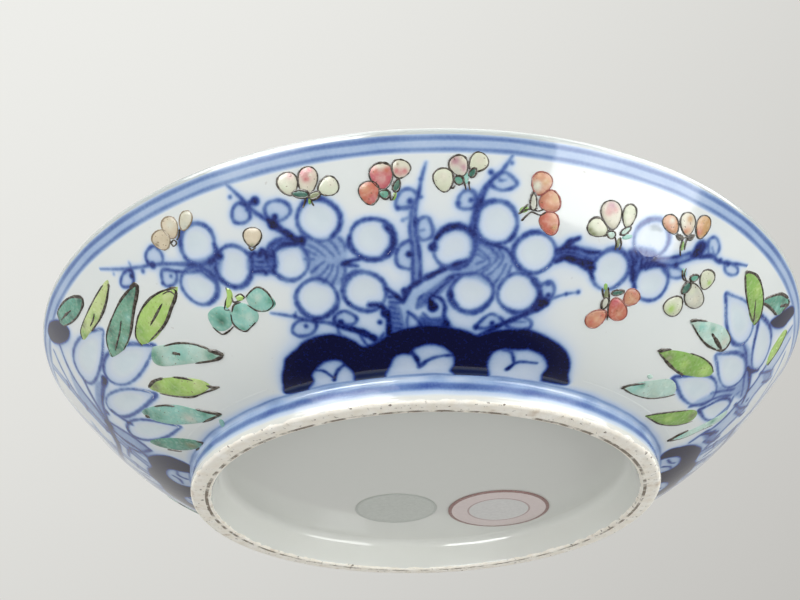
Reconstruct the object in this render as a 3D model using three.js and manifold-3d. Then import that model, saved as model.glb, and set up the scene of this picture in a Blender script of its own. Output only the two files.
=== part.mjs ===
// Footed porcelain dish, pierced and filled with clear glaze windows.
// Origin on the dish axis in the resting plane, +Z up, millimetres.
// Azimuth is counted from -Y towards +X; climb is the distance up the outer wall from the foot.
import * as THREE from 'three';
import { mergeVertices } from 'three/addons/utils/BufferGeometryUtils.js';
import Module from 'manifold-3d';

const wasm = await Module();
wasm.setup();

// Dish
const WALL_TOP_RADIUS = 75.5;
const WALL_TOP = 26;
const WALL_CURVE = 1.6;
const LIP_THICKNESS = 1.6;
const ROOT_THICKNESS = 3.0;
const FLOOR_TOP = 9.6;
const FLOOR_BLEND = 1.4;

// Foot ring
const FOOT_RADIUS = 45;
const FOOT_HEIGHT = 4.4;
const FOOT_DRAFT = 0.5;
const FOOT_INNER_RADIUS = 41.1;
const FOOT_INNER_DRAFT = 0.6;
const FOOT_OUTER_BEVEL = 0.9;
const FOOT_INNER_BEVEL = 0.6;
const RECESS_DEPTH = 6.5;
const RECESS_FILLET = 1.8;
const JUNCTION_FILLET = 0.7;

// Round glaze windows of the plum tree
const ROUND_RADIUS = 2.8;
const ROUND_SIDES = 12;

// Leaf glaze windows of the bamboo
const LEAF_SIDES = 12;
const LEAF_FULLNESS = 0.85;

// Fit of the windows in their holes
const GAP = 0.3;
const SINK = 0.15;
const CUT_CLEARANCE = 1.2;

// Paper labels under the base
const LABEL_THICKNESS = 0.3;
const LABEL_GAP = 0.3;
const WHITE_LABEL = { x: 16.5, y: 19.5, radius: 11 };
const CLEAR_LABEL = { x: -5.9, y: 18, radius: 8.8 };

// Mesh density
const TURN_SEGMENTS = 72;
const WALL_STEPS = 8;
const CORNER_STEPS = 3;
const LABEL_SEGMENTS = 40;

// One plum tree: azimuth in degrees and climb in millimetres of every round window
const PLUM_WINDOWS = [
  [-32.0, 23.2], [-29.5, 29.0], [-25.8, 24.0],
  [-18.2, 22.8], [-15.8, 16.2], [-13.0, 27.6], [-8.8, 16.2], [-6.8, 23.8],
  [3.5, 22.2], [6.2, 15.4], [8.5, 26.0], [13.0, 15.9], [14.0, 22.2],
  [25.2, 22.0], [29.5, 28.2], [32.2, 22.2],
];

// One bamboo stand: azimuth from its root, climb of the leaf centre, tip direction in degrees
// (0 = up the wall, 90 = towards greater azimuth), length and width
const BAMBOO_WINDOWS = [
  { azimuth: -37.5, climb: 24.8, turn: -78, length: 12.6, width: 5.0 },
  { azimuth: -27.0, climb: 26.2, turn: -75, length: 12.8, width: 4.8 },
  { azimuth: -30.0, climb: 18.6, turn: -96, length: 11.6, width: 5.4 },
  { azimuth: -34.0, climb: 11.6, turn: -100, length: 12.4, width: 5.2 },
  { azimuth: -22.5, climb: 12.7, turn: -122, length: 8.6, width: 4.2 },
  { azimuth: 28.5, climb: 26.0, turn: 90, length: 17.2, width: 5.6 },
  { azimuth: 36.0, climb: 19.5, turn: 97, length: 16.6, width: 5.2 },
  { azimuth: 27.5, climb: 15.4, turn: 110, length: 15.8, width: 4.6 },
  { azimuth: 24.4, climb: 9.4, turn: 119, length: 14.8, width: 4.2 },
];

const PLUM_CENTRES = [0, 180];
const BAMBOO_CENTRES = [90, 270];

const radians = THREE.MathUtils.degToRad;

// Outer wall: t runs from the foot (0) to the rim (1)
function wallPoint(t) {
  return {
    r: FOOT_RADIUS + (WALL_TOP_RADIUS - FOOT_RADIUS) * t,
    z: FOOT_HEIGHT + (WALL_TOP - FOOT_HEIGHT) * t ** WALL_CURVE,
  };
}

function wallInward(t) {
  const meanSlope = (WALL_TOP - FOOT_HEIGHT) / (WALL_TOP_RADIUS - FOOT_RADIUS);
  const slope = meanSlope * WALL_CURVE * t ** (WALL_CURVE - 1);
  const scale = 1 / Math.hypot(slope, 1);
  return { r: -slope * scale, z: scale };
}

function wallThickness(t) {
  return ROOT_THICKNESS + (LIP_THICKNESS - ROOT_THICKNESS) * t;
}

// Two heights blended so that the floor runs smoothly into the wall
function blendUp(a, b) {
  const overlap = Math.max(FLOOR_BLEND - Math.abs(a - b), 0) / FLOOR_BLEND;
  return Math.max(a, b) + (overlap * overlap * FLOOR_BLEND) / 4;
}

function innerPoint(t) {
  const outer = wallPoint(t);
  const inward = wallInward(t);
  const depth = wallThickness(t);
  return { r: outer.r + inward.r * depth, z: blendUp(outer.z + inward.z * depth, FLOOR_TOP) };
}

// Climb along the outer wall turned into t, by stepping up the curve
function climbToT(climb) {
  const steps = 400;
  let travelled = 0;
  let last = wallPoint(0);
  for (let i = 1; i <= steps; i += 1) {
    const next = wallPoint(i / steps);
    travelled += Math.hypot(next.r - last.r, next.z - last.z);
    if (travelled >= climb) return i / steps;
    last = next;
  }
  return 1;
}

// A quarter turn between two directions, as profile points
function corner(centreR, centreZ, radius, fromDegrees, toDegrees) {
  const points = [];
  for (let i = 0; i <= CORNER_STEPS; i += 1) {
    const angle = radians(fromDegrees + ((toDegrees - fromDegrees) * i) / CORNER_STEPS);
    points.push(new THREE.Vector2(centreR + radius * Math.cos(angle), centreZ + radius * Math.sin(angle)));
  }
  return points;
}

// Half section of the clay: recess, foot ring, outer wall, lip, inner wall, floor
function bodyProfile() {
  const recessRadius = FOOT_INNER_RADIUS - FOOT_INNER_DRAFT;
  const footTop = FOOT_RADIUS - FOOT_DRAFT;
  const points = [new THREE.Vector2(0, RECESS_DEPTH)];
  points.push(...corner(recessRadius - RECESS_FILLET, RECESS_DEPTH - RECESS_FILLET, RECESS_FILLET, 90, 0));
  points.push(new THREE.Vector2(FOOT_INNER_RADIUS, FOOT_INNER_BEVEL));
  points.push(new THREE.Vector2(FOOT_INNER_RADIUS + FOOT_INNER_BEVEL, 0));
  points.push(new THREE.Vector2(FOOT_RADIUS - FOOT_OUTER_BEVEL, 0));
  points.push(new THREE.Vector2(FOOT_RADIUS, FOOT_OUTER_BEVEL));
  const junctionZ = FOOT_HEIGHT - JUNCTION_FILLET;
  points.push(...corner(footTop + JUNCTION_FILLET, junctionZ, JUNCTION_FILLET, 180, 100));
  points.push(...wallAndLip());
  points.push(new THREE.Vector2(0, FLOOR_TOP));
  return points;
}

function wallAndLip() {
  const points = [];
  const first = 0.06;
  for (let i = 0; i <= WALL_STEPS; i += 1) {
    const { r, z } = wallPoint(first + ((1 - first) * i) / WALL_STEPS);
    points.push(new THREE.Vector2(r, z));
  }
  points.push(...lip());
  for (let i = WALL_STEPS; i >= 1; i -= 1) {
    const { r, z } = innerPoint((0.97 * i) / WALL_STEPS);
    points.push(new THREE.Vector2(r, z));
  }
  points.push(new THREE.Vector2(FOOT_RADIUS - 4, FLOOR_TOP));
  return points;
}

// Rounded lip from the outer to the inner wall
function lip() {
  const outer = wallPoint(1);
  const inward = wallInward(1);
  const radius = LIP_THICKNESS / 2;
  const centreR = outer.r + inward.r * radius;
  const centreZ = outer.z + inward.z * radius;
  const start = THREE.MathUtils.radToDeg(Math.atan2(-inward.z, -inward.r));
  return corner(centreR, centreZ, radius, start, start + 180).slice(1);
}

// Point at a depth inside the wall, for an azimuth and a climb
function pointInWall(azimuth, climb, side, offset) {
  const t = climbToT(climb);
  const outer = wallPoint(t);
  const inward = wallInward(t);
  const depth = side === 'outer' ? offset : wallThickness(t) - offset;
  const floorLift = side === 'outer' ? 0 : innerPoint(t).z - (outer.z + inward.z * wallThickness(t));
  const r = outer.r + inward.r * depth;
  const z = outer.z + inward.z * depth + floorLift;
  const angle = radians(azimuth);
  return new THREE.Vector3(r * Math.sin(angle), -r * Math.cos(angle), z);
}

// Outline of a round window, as sideways and climbing distances from its centre
function roundOutline(radius) {
  return Array.from({ length: ROUND_SIDES }, (_, i) => {
    const angle = (2 * Math.PI * i) / ROUND_SIDES;
    return [radius * Math.sin(angle), radius * Math.cos(angle)];
  });
}

// Outline of a leaf window: blunt at its foot, drawn to a point at its tip
function leafOutline(leaf, shrink) {
  const half = leaf.length / 2 - shrink;
  const wide = leaf.width / 2 - shrink;
  const turn = radians(leaf.turn);
  return Array.from({ length: LEAF_SIDES }, (_, i) => {
    const angle = (2 * Math.PI * i) / LEAF_SIDES;
    const along = half * Math.cos(angle);
    const taper = 1 - 0.35 * Math.cos(angle) * LEAF_FULLNESS;
    const across = wide * Math.sin(angle) * taper;
    return [across * Math.cos(turn) + along * Math.sin(turn), along * Math.cos(turn) - across * Math.sin(turn)];
  });
}

// Triangles of one face of a plug, from its centre point out through its rings
function capTriangles(rings, count) {
  const triangles = [];
  for (let i = 0; i < count; i += 1) {
    const next = (i + 1) % count;
    triangles.push([0, 1 + next, 1 + i]);
    for (let ring = 1; ring < rings; ring += 1) {
      const inside = 1 + (ring - 1) * count;
      const outside = 1 + ring * count;
      triangles.push([inside + i, inside + next, outside + next], [inside + i, outside + next, outside + i]);
    }
  }
  return triangles;
}

// Closed plug through the wall; each face follows the wall's curve along its rings
function plugGeometry({ azimuth, climb, shares }, outline, offset) {
  const middle = wallPoint(climbToT(climb)).r;
  const count = outline.length;
  const place = ([sideways, up], share, side) => {
    const turned = azimuth + THREE.MathUtils.radToDeg((sideways * share) / middle);
    return pointInWall(turned, climb + up * share, side, offset);
  };
  const face = (side) => [
    place([0, 0], 0, side),
    ...shares.flatMap((share) => outline.map((spot) => place(spot, share, side))),
  ];
  const outer = face('outer');
  const points = [...outer, ...face('inner')];
  const behind = outer.length;
  const triangles = [];
  capTriangles(shares.length, count).forEach(([a, b, c]) => {
    triangles.push(a, b, c, behind + a, behind + c, behind + b);
  });
  for (let i = 0; i < count; i += 1) {
    const edge = behind - count + i;
    const next = behind - count + ((i + 1) % count);
    triangles.push(edge, next, behind + next, edge, behind + next, behind + edge);
  }
  const geometry = new THREE.BufferGeometry();
  geometry.setAttribute('position', new THREE.Float32BufferAttribute(points.flatMap((p) => p.toArray()), 3));
  geometry.setIndex(triangles);
  return geometry;
}

function toManifold(geometry) {
  const bare = geometry.clone();
  bare.deleteAttribute('normal');
  bare.deleteAttribute('uv');
  const merged = mergeVertices(bare, 1e-4);
  return new wasm.Manifold(new wasm.Mesh({
    numProp: 3,
    vertProperties: new Float32Array(merged.attributes.position.array),
    triVerts: new Uint32Array(merged.index.array),
  }));
}

function fromManifold(solid) {
  const { numProp, vertProperties, triVerts } = solid.getMesh();
  const geometry = new THREE.BufferGeometry();
  const positions = [];
  for (let i = 0; i < vertProperties.length; i += numProp) {
    positions.push(vertProperties[i], vertProperties[i + 1], vertProperties[i + 2]);
  }
  geometry.setAttribute('position', new THREE.Float32BufferAttribute(positions, 3));
  geometry.setIndex(Array.from(triVerts));
  geometry.computeVertexNormals();
  return geometry;
}

function turnedBody() {
  const geometry = new THREE.LatheGeometry(bodyProfile(), TURN_SEGMENTS);
  geometry.rotateX(Math.PI / 2);
  return geometry;
}

// Windows all round the dish, each with its place and its two outlines
function windowList() {
  const list = [];
  PLUM_CENTRES.forEach((centre, tree) => {
    PLUM_WINDOWS.forEach(([azimuth, climb], i) => {
      list.push({
        name: `round_window_${tree + 1}_${i + 1}`,
        azimuth: centre + azimuth,
        climb,
        shares: [1],
        hole: roundOutline(ROUND_RADIUS),
        plug: roundOutline(ROUND_RADIUS - GAP),
      });
    });
  });
  BAMBOO_CENTRES.forEach((centre, stand) => {
    BAMBOO_WINDOWS.forEach((leaf, i) => {
      list.push({
        name: `leaf_window_${stand + 1}_${i + 1}`,
        azimuth: centre + leaf.azimuth,
        climb: leaf.climb,
        shares: [0.5, 1],
        hole: leafOutline(leaf, 0),
        plug: leafOutline(leaf, GAP),
      });
    });
  });
  return list;
}

const porcelain = () => new THREE.MeshStandardMaterial({ color: 0xdce1df, roughness: 0.12, metalness: 0 });
const clearGlaze = () => new THREE.MeshStandardMaterial({ color: 0xcddee1, roughness: 0.08, metalness: 0 });
const paper = () => new THREE.MeshStandardMaterial({ color: 0xf0eeea, roughness: 0.6, metalness: 0 });
const film = () => new THREE.MeshStandardMaterial({ color: 0xc4cac8, roughness: 0.3, metalness: 0 });

function named(name, geometry, material) {
  const mesh = new THREE.Mesh(geometry, material);
  mesh.name = name;
  return mesh;
}

function pierced(body, windows) {
  let solid = toManifold(body);
  windows.forEach((entry) => {
    solid = solid.subtract(toManifold(plugGeometry(entry, entry.hole, -CUT_CLEARANCE)));
  });
  return fromManifold(solid);
}

function windowMesh(entry) {
  const geometry = plugGeometry(entry, entry.plug, SINK);
  geometry.computeVertexNormals();
  return named(entry.name, geometry, clearGlaze());
}

function label(name, { x, y, radius }, material) {
  const geometry = new THREE.CylinderGeometry(radius, radius, LABEL_THICKNESS, LABEL_SEGMENTS);
  geometry.rotateX(Math.PI / 2);
  geometry.translate(x, y, RECESS_DEPTH - LABEL_GAP - LABEL_THICKNESS / 2);
  return named(name, geometry, material);
}

const dish = new THREE.Group();
dish.name = 'pierced_porcelain_dish';
const windows = windowList();
dish.add(named('porcelain_body', pierced(turnedBody(), windows), porcelain()));
windows.forEach((entry) => dish.add(windowMesh(entry)));
dish.add(label('paper_label', WHITE_LABEL, paper()));
dish.add(label('clear_label', CLEAR_LABEL, film()));

export default dish;
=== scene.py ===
import functools
import math

import bpy
import numpy as np
from mathutils import Matrix


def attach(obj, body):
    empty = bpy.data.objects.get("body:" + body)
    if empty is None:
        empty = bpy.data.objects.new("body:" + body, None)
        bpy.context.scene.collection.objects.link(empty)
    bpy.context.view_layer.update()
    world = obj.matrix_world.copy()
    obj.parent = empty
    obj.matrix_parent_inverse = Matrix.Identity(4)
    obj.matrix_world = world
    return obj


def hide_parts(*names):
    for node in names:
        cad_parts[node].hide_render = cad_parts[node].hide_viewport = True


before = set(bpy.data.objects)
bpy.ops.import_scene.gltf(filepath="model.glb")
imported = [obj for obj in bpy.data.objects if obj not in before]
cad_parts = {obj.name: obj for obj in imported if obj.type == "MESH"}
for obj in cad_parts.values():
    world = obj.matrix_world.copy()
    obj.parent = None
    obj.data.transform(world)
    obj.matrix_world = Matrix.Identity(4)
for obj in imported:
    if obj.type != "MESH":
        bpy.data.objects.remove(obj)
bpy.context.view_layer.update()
MM = 0.001
rng = np.random.default_rng(11)

# Camera, below the foot and looking up at the near wall; its directions have length one
CAMERA_PLACE = np.array([-4.02, -160.7, -59.0])
CAMERA_RIGHT = np.array([0.99974, 0.01265, -0.01883])
CAMERA_DOWN = np.array([-0.02269, 0.55760, -0.82980])
CAMERA_AHEAD = np.cross(CAMERA_RIGHT, CAMERA_DOWN)
PHOTO_WIDTH, PHOTO_HEIGHT = 800, 600
FOCAL_PIXELS = 850
SENSOR = 36
CLIP_START = 0.01

# Dish, as in the CAD
FOOT_RADIUS, FOOT_HEIGHT, FOOT_DRAFT = 45.0, 4.4, 0.5
FOOT_INNER_RADIUS, FOOT_INNER_DRAFT = 41.1, 0.6
FOOT_OUTER_BEVEL, FOOT_INNER_BEVEL = 0.9, 0.6
RECESS_DEPTH, RECESS_FILLET = 6.5, 1.8
JUNCTION_FILLET = 0.7
WALL_TOP_RADIUS, WALL_TOP, WALL_CURVE = 75.5, 26.0, 1.6
LIP_THICKNESS, ROOT_THICKNESS = 1.6, 3.0
FLOOR_TOP, FLOOR_BLEND = 9.6, 1.4
ROUND_RADIUS = 2.8
LEAF_TAPER = 0.35 * 0.85
# How far a window's glaze laps over the clay, and the share of its radius where that lap starts
LAP = 0.3
FLAT_FROM = ROUND_RADIUS / (ROUND_RADIUS + LAP)
# Lift of a skin's edge, which ends just inside the clay
BURIED = -0.015
# Points round the body, and round each band of its rim and foot
BODY_COLUMNS, BAND_COLUMNS = 288, 1080
# Least length that is divided by
TINY = 1e-6

# round windows of a tree: azimuth from its middle, climb
PLUM_WINDOWS = [
    (-32.0, 23.2), (-29.5, 29.0), (-25.8, 24.0),
    (-18.2, 22.8), (-15.8, 16.2), (-13.0, 27.6), (-8.8, 16.2), (-6.8, 23.8),
    (3.5, 22.2), (6.2, 15.4), (8.5, 26.0), (13.0, 15.9), (14.0, 22.2),
    (25.2, 22.0), (29.5, 28.2), (32.2, 22.2),
]
# leaf windows of a stand: azimuth from its root, climb, tip direction (0 up the wall), length, width
BAMBOO_WINDOWS = [
    (-37.5, 24.8, -78, 12.6, 5.0),
    (-27.0, 26.2, -75, 12.8, 4.8),
    (-30.0, 18.6, -96, 11.6, 5.4),
    (-34.0, 11.6, -100, 12.4, 5.2),
    (-22.5, 12.7, -122, 8.6, 4.2),
    (28.5, 26.0, 90, 17.2, 5.6),
    (36.0, 19.5, 97, 16.6, 5.2),
    (27.5, 15.4, 110, 15.8, 4.6),
    (24.4, 9.4, 119, 14.8, 4.2),
]
# azimuth of each tree and each stand
TREES = {"front": 0, "back": 180}
STANDS = {"right": 90, "left": 270}


def linear(red, green, blue):
    """Colour of the photograph, 0 to 255, as a linear colour."""
    parts = [c / 255 for c in (red, green, blue)]
    return tuple(c / 12.92 if c <= 0.04045 else ((c + 0.055) / 1.055) ** 2.4 for c in parts) + (1.0,)


def make_camera():
    data = bpy.data.cameras.new("camera")
    data.sensor_width = SENSOR
    data.lens = FOCAL_PIXELS / PHOTO_WIDTH * SENSOR
    data.clip_start = CLIP_START
    camera = bpy.data.objects.new("camera", data)
    bpy.context.scene.collection.objects.link(camera)
    turn = np.stack([CAMERA_RIGHT, -CAMERA_DOWN, -CAMERA_AHEAD], axis=1)
    matrix = np.eye(4)
    matrix[:3, :3] = turn
    matrix[:3, 3] = CAMERA_PLACE * MM
    camera.matrix_world = Matrix(matrix.tolist())
    bpy.context.scene.camera = camera


make_camera()
bpy.context.scene.view_settings.view_transform = "Standard"

# Outer wall, sampled from the foot to the lip; a share runs from 0 at the foot to 1 at the lip

WALL_SAMPLES = 1500
SHARE = np.linspace(0, 1, WALL_SAMPLES)
WALL_R = FOOT_RADIUS + (WALL_TOP_RADIUS - FOOT_RADIUS) * SHARE
WALL_Z = FOOT_HEIGHT + (WALL_TOP - FOOT_HEIGHT) * SHARE**WALL_CURVE
WALL_CLIMB = np.concatenate([[0], np.cumsum(np.hypot(np.diff(WALL_R), np.diff(WALL_Z)))])
MEAN_SLOPE = (WALL_TOP - FOOT_HEIGHT) / (WALL_TOP_RADIUS - FOOT_RADIUS)


def share_at(climb):
    return np.interp(climb, WALL_CLIMB, SHARE)


def radius_at(climb):
    return np.interp(climb, WALL_CLIMB, WALL_R)


def outward_at(share):
    """Outward direction of the wall, as parts along the radius and +Z."""
    slope = MEAN_SLOPE * WALL_CURVE * share ** (WALL_CURVE - 1)
    scale = 1 / np.hypot(slope, 1)
    return slope * scale, -scale


def thickness_at(share):
    return ROOT_THICKNESS + (LIP_THICKNESS - ROOT_THICKNESS) * share


def wall_rz(share, lift=0.0):
    """Radius and height on the outer wall, or lifted off it."""
    out_r, out_z = outward_at(share)
    r = FOOT_RADIUS + (WALL_TOP_RADIUS - FOOT_RADIUS) * share
    z = FOOT_HEIGHT + (WALL_TOP - FOOT_HEIGHT) * share**WALL_CURVE
    return r + out_r * lift, z + out_z * lift


def inner_rz(share, lift=0.0):
    """Radius and height on the inner face, which runs softly into the flat floor."""
    r, z = wall_rz(share, -thickness_at(share))
    overlap = np.maximum(FLOOR_BLEND - np.abs(z - FLOOR_TOP), 0) / FLOOR_BLEND
    out_r, out_z = outward_at(share)
    z = np.maximum(z, FLOOR_TOP) + overlap**2 * FLOOR_BLEND / 4
    return r - out_r * lift, z - out_z * lift


def turned(azimuth, r, z):
    """Points or directions at an azimuth from a radius and a height."""
    angle = np.radians(azimuth)
    return np.stack(np.broadcast_arrays(r * np.sin(angle), -r * np.cos(angle), z), axis=-1)


def on_wall(azimuth, climb, lift=0.0):
    r, z = wall_rz(share_at(climb), lift)
    return turned(azimuth, r, z)


def on_inside(azimuth, climb, lift=0.0):
    r, z = inner_rz(share_at(climb), lift)
    return turned(azimuth, r, z)


def wall_normals(azimuth, climb):
    out_r, out_z = outward_at(share_at(climb))
    return turned(azimuth, out_r, out_z)


def photo_point(azimuth, climb):
    """Where the photograph shows a place on the wall."""
    view = on_wall(azimuth, climb) - CAMERA_PLACE
    ahead = view @ CAMERA_AHEAD
    across = PHOTO_WIDTH / 2 + FOCAL_PIXELS * (view @ CAMERA_RIGHT) / ahead
    down = PHOTO_HEIGHT / 2 + FOCAL_PIXELS * (view @ CAMERA_DOWN) / ahead
    return np.stack([across, down], axis=-1)


# Places that spot starts from: all of the wall that the camera sees, in degrees and millimetres
GUESS_AZIMUTH, GUESS_CLIMB = np.meshgrid(np.arange(-96, 97, 2.0), np.arange(0, 39, 1.0))
GUESS_POINT = photo_point(GUESS_AZIMUTH, GUESS_CLIMB)
# How often it steps, the nudge it measures with, its longest step, and the highest climb it may reach
SPOT_ROUNDS, SPOT_NUDGE, SPOT_STEP = 8, 0.05, 2
HIGHEST_SPOT = 38.5


@functools.lru_cache(maxsize=None)
def spot(x, y):
    """Azimuth and climb of the wall behind a photo point, found by stepping closer to it."""
    nearest = np.argmin(np.hypot(GUESS_POINT[..., 0] - x, GUESS_POINT[..., 1] - y))
    place = np.array([GUESS_AZIMUTH.flat[nearest], GUESS_CLIMB.flat[nearest]])
    for _ in range(SPOT_ROUNDS):
        here = photo_point(*place)
        grow = np.stack([
            (photo_point(place[0] + SPOT_NUDGE, place[1]) - here) / SPOT_NUDGE,
            (photo_point(place[0], place[1] + SPOT_NUDGE) - here) / SPOT_NUDGE,
        ], axis=1)
        step = np.linalg.solve(grow, np.array([x, y]) - here)
        place = place + np.clip(step, -SPOT_STEP, SPOT_STEP)
        place[1] = np.clip(place[1], 0, HIGHEST_SPOT)
    return place


def spots(points):
    return np.array([spot(x, y) for x, y in points])


# Meshes

def add_mesh(name, points, faces, attributes=()):
    """Object from points in millimetres; attributes are (name, type, a value for each point)."""
    mesh = bpy.data.meshes.new(name)
    mesh.from_pydata((np.asarray(points) * MM).tolist(), [], faces)
    for key, kind, values in attributes:
        layer = mesh.attributes.new(key, kind, "POINT")
        field = "color" if kind == "FLOAT_COLOR" else "value"
        layer.data.foreach_set(field, np.asarray(values, np.float32).ravel())
    mesh.shade_smooth()
    piece = bpy.data.objects.new(name, mesh)
    bpy.context.scene.collection.objects.link(piece)
    return piece


def shade_as(piece, normals):
    """Gives each vertex its own normal, so that a thin skin is shaded as the wall below it."""
    piece.data.normals_split_custom_set_from_vertices(normals.reshape(-1, 3).tolist())
    return piece


def grid_faces(rows, columns, wrap=False):
    """Quads of a rows by columns grid of points; wrap joins the last column to the first."""
    across = np.arange(columns if wrap else columns - 1)
    row, column = np.meshgrid(np.arange(rows - 1), across, indexing="ij")
    after = (column + 1) % columns
    here, above = row * columns, (row + 1) * columns
    corners = [here + column, here + after, above + after, above + column]
    return np.stack([c.ravel() for c in corners], axis=1)


def lathe(name, profile, segments):
    """Body of revolution from a half section that starts and ends on the axis."""
    ring = np.array(profile[1:-1])
    azimuth = np.arange(segments) * 360 / segments
    points = turned(azimuth[None, :], ring[:, :1], ring[:, 1:])
    points = points.reshape(-1, 3)
    faces = grid_faces(len(ring), segments, wrap=True).tolist()
    first, last = len(points), len(points) + 1
    tail = (len(ring) - 1) * segments
    for i in range(segments):
        after = (i + 1) % segments
        faces.append((first, after, i))
        faces.append((last, tail + i, tail + after))
    ends = np.array([[0, 0, profile[0][1]], [0, 0, profile[-1][1]]])
    return add_mesh(name, np.vstack([points, ends]), faces)


def arc(centre_r, centre_z, radius, start, stop, count):
    """Points of an arc of a half section, between two angles in degrees."""
    angles = np.radians(np.linspace(start, stop, count))
    return [(centre_r + radius * math.cos(a), centre_z + radius * math.sin(a)) for a in angles]


def line(start, stop, count):
    """Points of a straight stretch of a half section."""
    return [tuple(p) for p in np.linspace(start, stop, count)]


def foot_side():
    """Half section of the foot's outer side, from its bevel to the wall."""
    top, level = FOOT_RADIUS - FOOT_DRAFT, FOOT_HEIGHT - JUNCTION_FILLET
    points = line((FOOT_RADIUS, FOOT_OUTER_BEVEL), (top, level), 10)
    return points + arc(top + JUNCTION_FILLET, level, JUNCTION_FILLET, 180, 100, 7)[1:]


def foot_section():
    """Half section from the recess round the foot ring to the foot of the wall."""
    recess = FOOT_INNER_RADIUS - FOOT_INNER_DRAFT
    flat_end = FOOT_RADIUS - FOOT_OUTER_BEVEL
    points = line((0, RECESS_DEPTH), (recess - RECESS_FILLET, RECESS_DEPTH), 30)
    points += arc(recess - RECESS_FILLET, RECESS_DEPTH - RECESS_FILLET, RECESS_FILLET, 90, 0, 12)[1:]
    points += line(points[-1], (FOOT_INNER_RADIUS, FOOT_INNER_BEVEL), 10)[1:]
    points += arc(FOOT_INNER_RADIUS + FOOT_INNER_BEVEL, FOOT_INNER_BEVEL, FOOT_INNER_BEVEL, 180, 270, 7)[1:]
    points += line(points[-1], (flat_end, 0), 6)[1:]
    points += arc(flat_end, FOOT_OUTER_BEVEL, FOOT_OUTER_BEVEL, 270, 360, 12)[1:]
    return points + foot_side()[1:]


def lip_section():
    """Round edge from the outer wall over to the inner face."""
    r, z = wall_rz(1.0, -LIP_THICKNESS / 2)
    out_r, out_z = outward_at(1.0)
    start = math.degrees(math.atan2(out_z, out_r))
    return arc(r, z, LIP_THICKNESS / 2, start, start + 180, 14)[1:]


def body_section():
    """Half section of the whole body, from the recess round the lip to the middle of the floor."""
    wall_points, floor_radius = 70, FOOT_RADIUS - 3
    outer = [wall_rz(share) for share in np.linspace(0.04, 1, wall_points)]
    inner = [inner_rz(share) for share in np.linspace(0.98, 0.01, wall_points)]
    floor = line((floor_radius, FLOOR_TOP), (0, FLOOR_TOP), 24)
    return foot_section() + outer + lip_section() + inner + floor


# Windows

def round_outline(radius, sides=40):
    angle = np.arange(sides) * 2 * np.pi / sides
    return np.stack([radius * np.sin(angle), radius * np.cos(angle)], axis=1)


def leaf_outline(turn, length, width, grow=0.0, point=0.0, sides=56):
    """Egg shape about its middle; point draws its narrow end out, as the brush does."""
    angle = np.arange(sides) * 2 * np.pi / sides
    ahead = np.maximum(np.cos(angle), 0)
    along = (length / 2 + grow) * np.cos(angle) + point * ahead**6
    across = (width / 2 + grow) * np.sin(angle) * (1 - LEAF_TAPER * np.cos(angle))
    across *= 1 - 0.5 * point * ahead**4
    tilt = math.radians(turn)
    return np.stack([
        across * math.cos(tilt) + along * math.sin(tilt),
        along * math.cos(tilt) - across * math.sin(tilt),
    ], axis=1)


def tree_windows(centre, grow):
    """Azimuth, climb and outline of each window of a tree."""
    return [(centre + a, c, round_outline(ROUND_RADIUS + grow)) for a, c in PLUM_WINDOWS]


def stand_windows(centre, grow, point=0.0):
    """Azimuth, climb and outline of each window of a bamboo stand."""
    return [
        (centre + azimuth, climb, leaf_outline(turn, length, width, grow, point))
        for azimuth, climb, turn, length, width in BAMBOO_WINDOWS
    ]


def ring_places(azimuth, climb, outline, shares):
    """Azimuths and climbs of a window's middle and of the rings round it."""
    grown = np.vstack([np.zeros((1, 2))] + [outline * share for share in shares])
    return azimuth + np.degrees(grown[:, 0] / radius_at(climb)), climb + grown[:, 1]


def plug(azimuth, climb, outline, shares, lifts):
    """Closed plug through the wall; lifts are heights above both faces, for its middle and every ring."""
    count = len(outline)
    turns, climbs = ring_places(azimuth, climb, outline, shares)
    rise = np.repeat(lifts, [1] + [count] * len(shares))
    points = np.vstack([on_wall(turns, climbs, rise), on_inside(turns, climbs, rise)])
    behind = len(turns)
    faces = []
    for i in range(count):
        after = (i + 1) % count
        faces.append((0, 1 + after, 1 + i))
        faces.append((behind, behind + 1 + i, behind + 1 + after))
        for ring in range(len(shares) - 1):
            a, b = 1 + ring * count, 1 + (ring + 1) * count
            faces.append((a + i, a + after, b + after, b + i))
            faces.append((behind + a + i, behind + b + i, behind + b + after, behind + a + after))
        edge = 1 + (len(shares) - 1) * count
        faces.append((edge + i, edge + after, behind + edge + after, behind + edge + i))
    return points, faces


def joined(parts):
    """Several (points, faces) as one."""
    points, faces, offset = [], [], 0
    for more_points, more_faces in parts:
        points.append(more_points)
        faces += [tuple(i + offset for i in face) for face in more_faces]
        offset += len(more_points)
    return np.vstack(points), faces


def cutter():
    """All the openings as one body that stands out of both faces of the wall."""
    reach = 1.2
    parts = []
    for centre in TREES.values():
        parts += [plug(a, c, o, [1.0], [reach] * 2) for a, c, o in tree_windows(centre, 0.0)]
    for centre in STANDS.values():
        parts += [plug(a, c, o, [0.5, 1.0], [reach] * 3) for a, c, o in stand_windows(centre, 0.0)]
    return add_mesh("cutter", *joined(parts))


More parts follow.
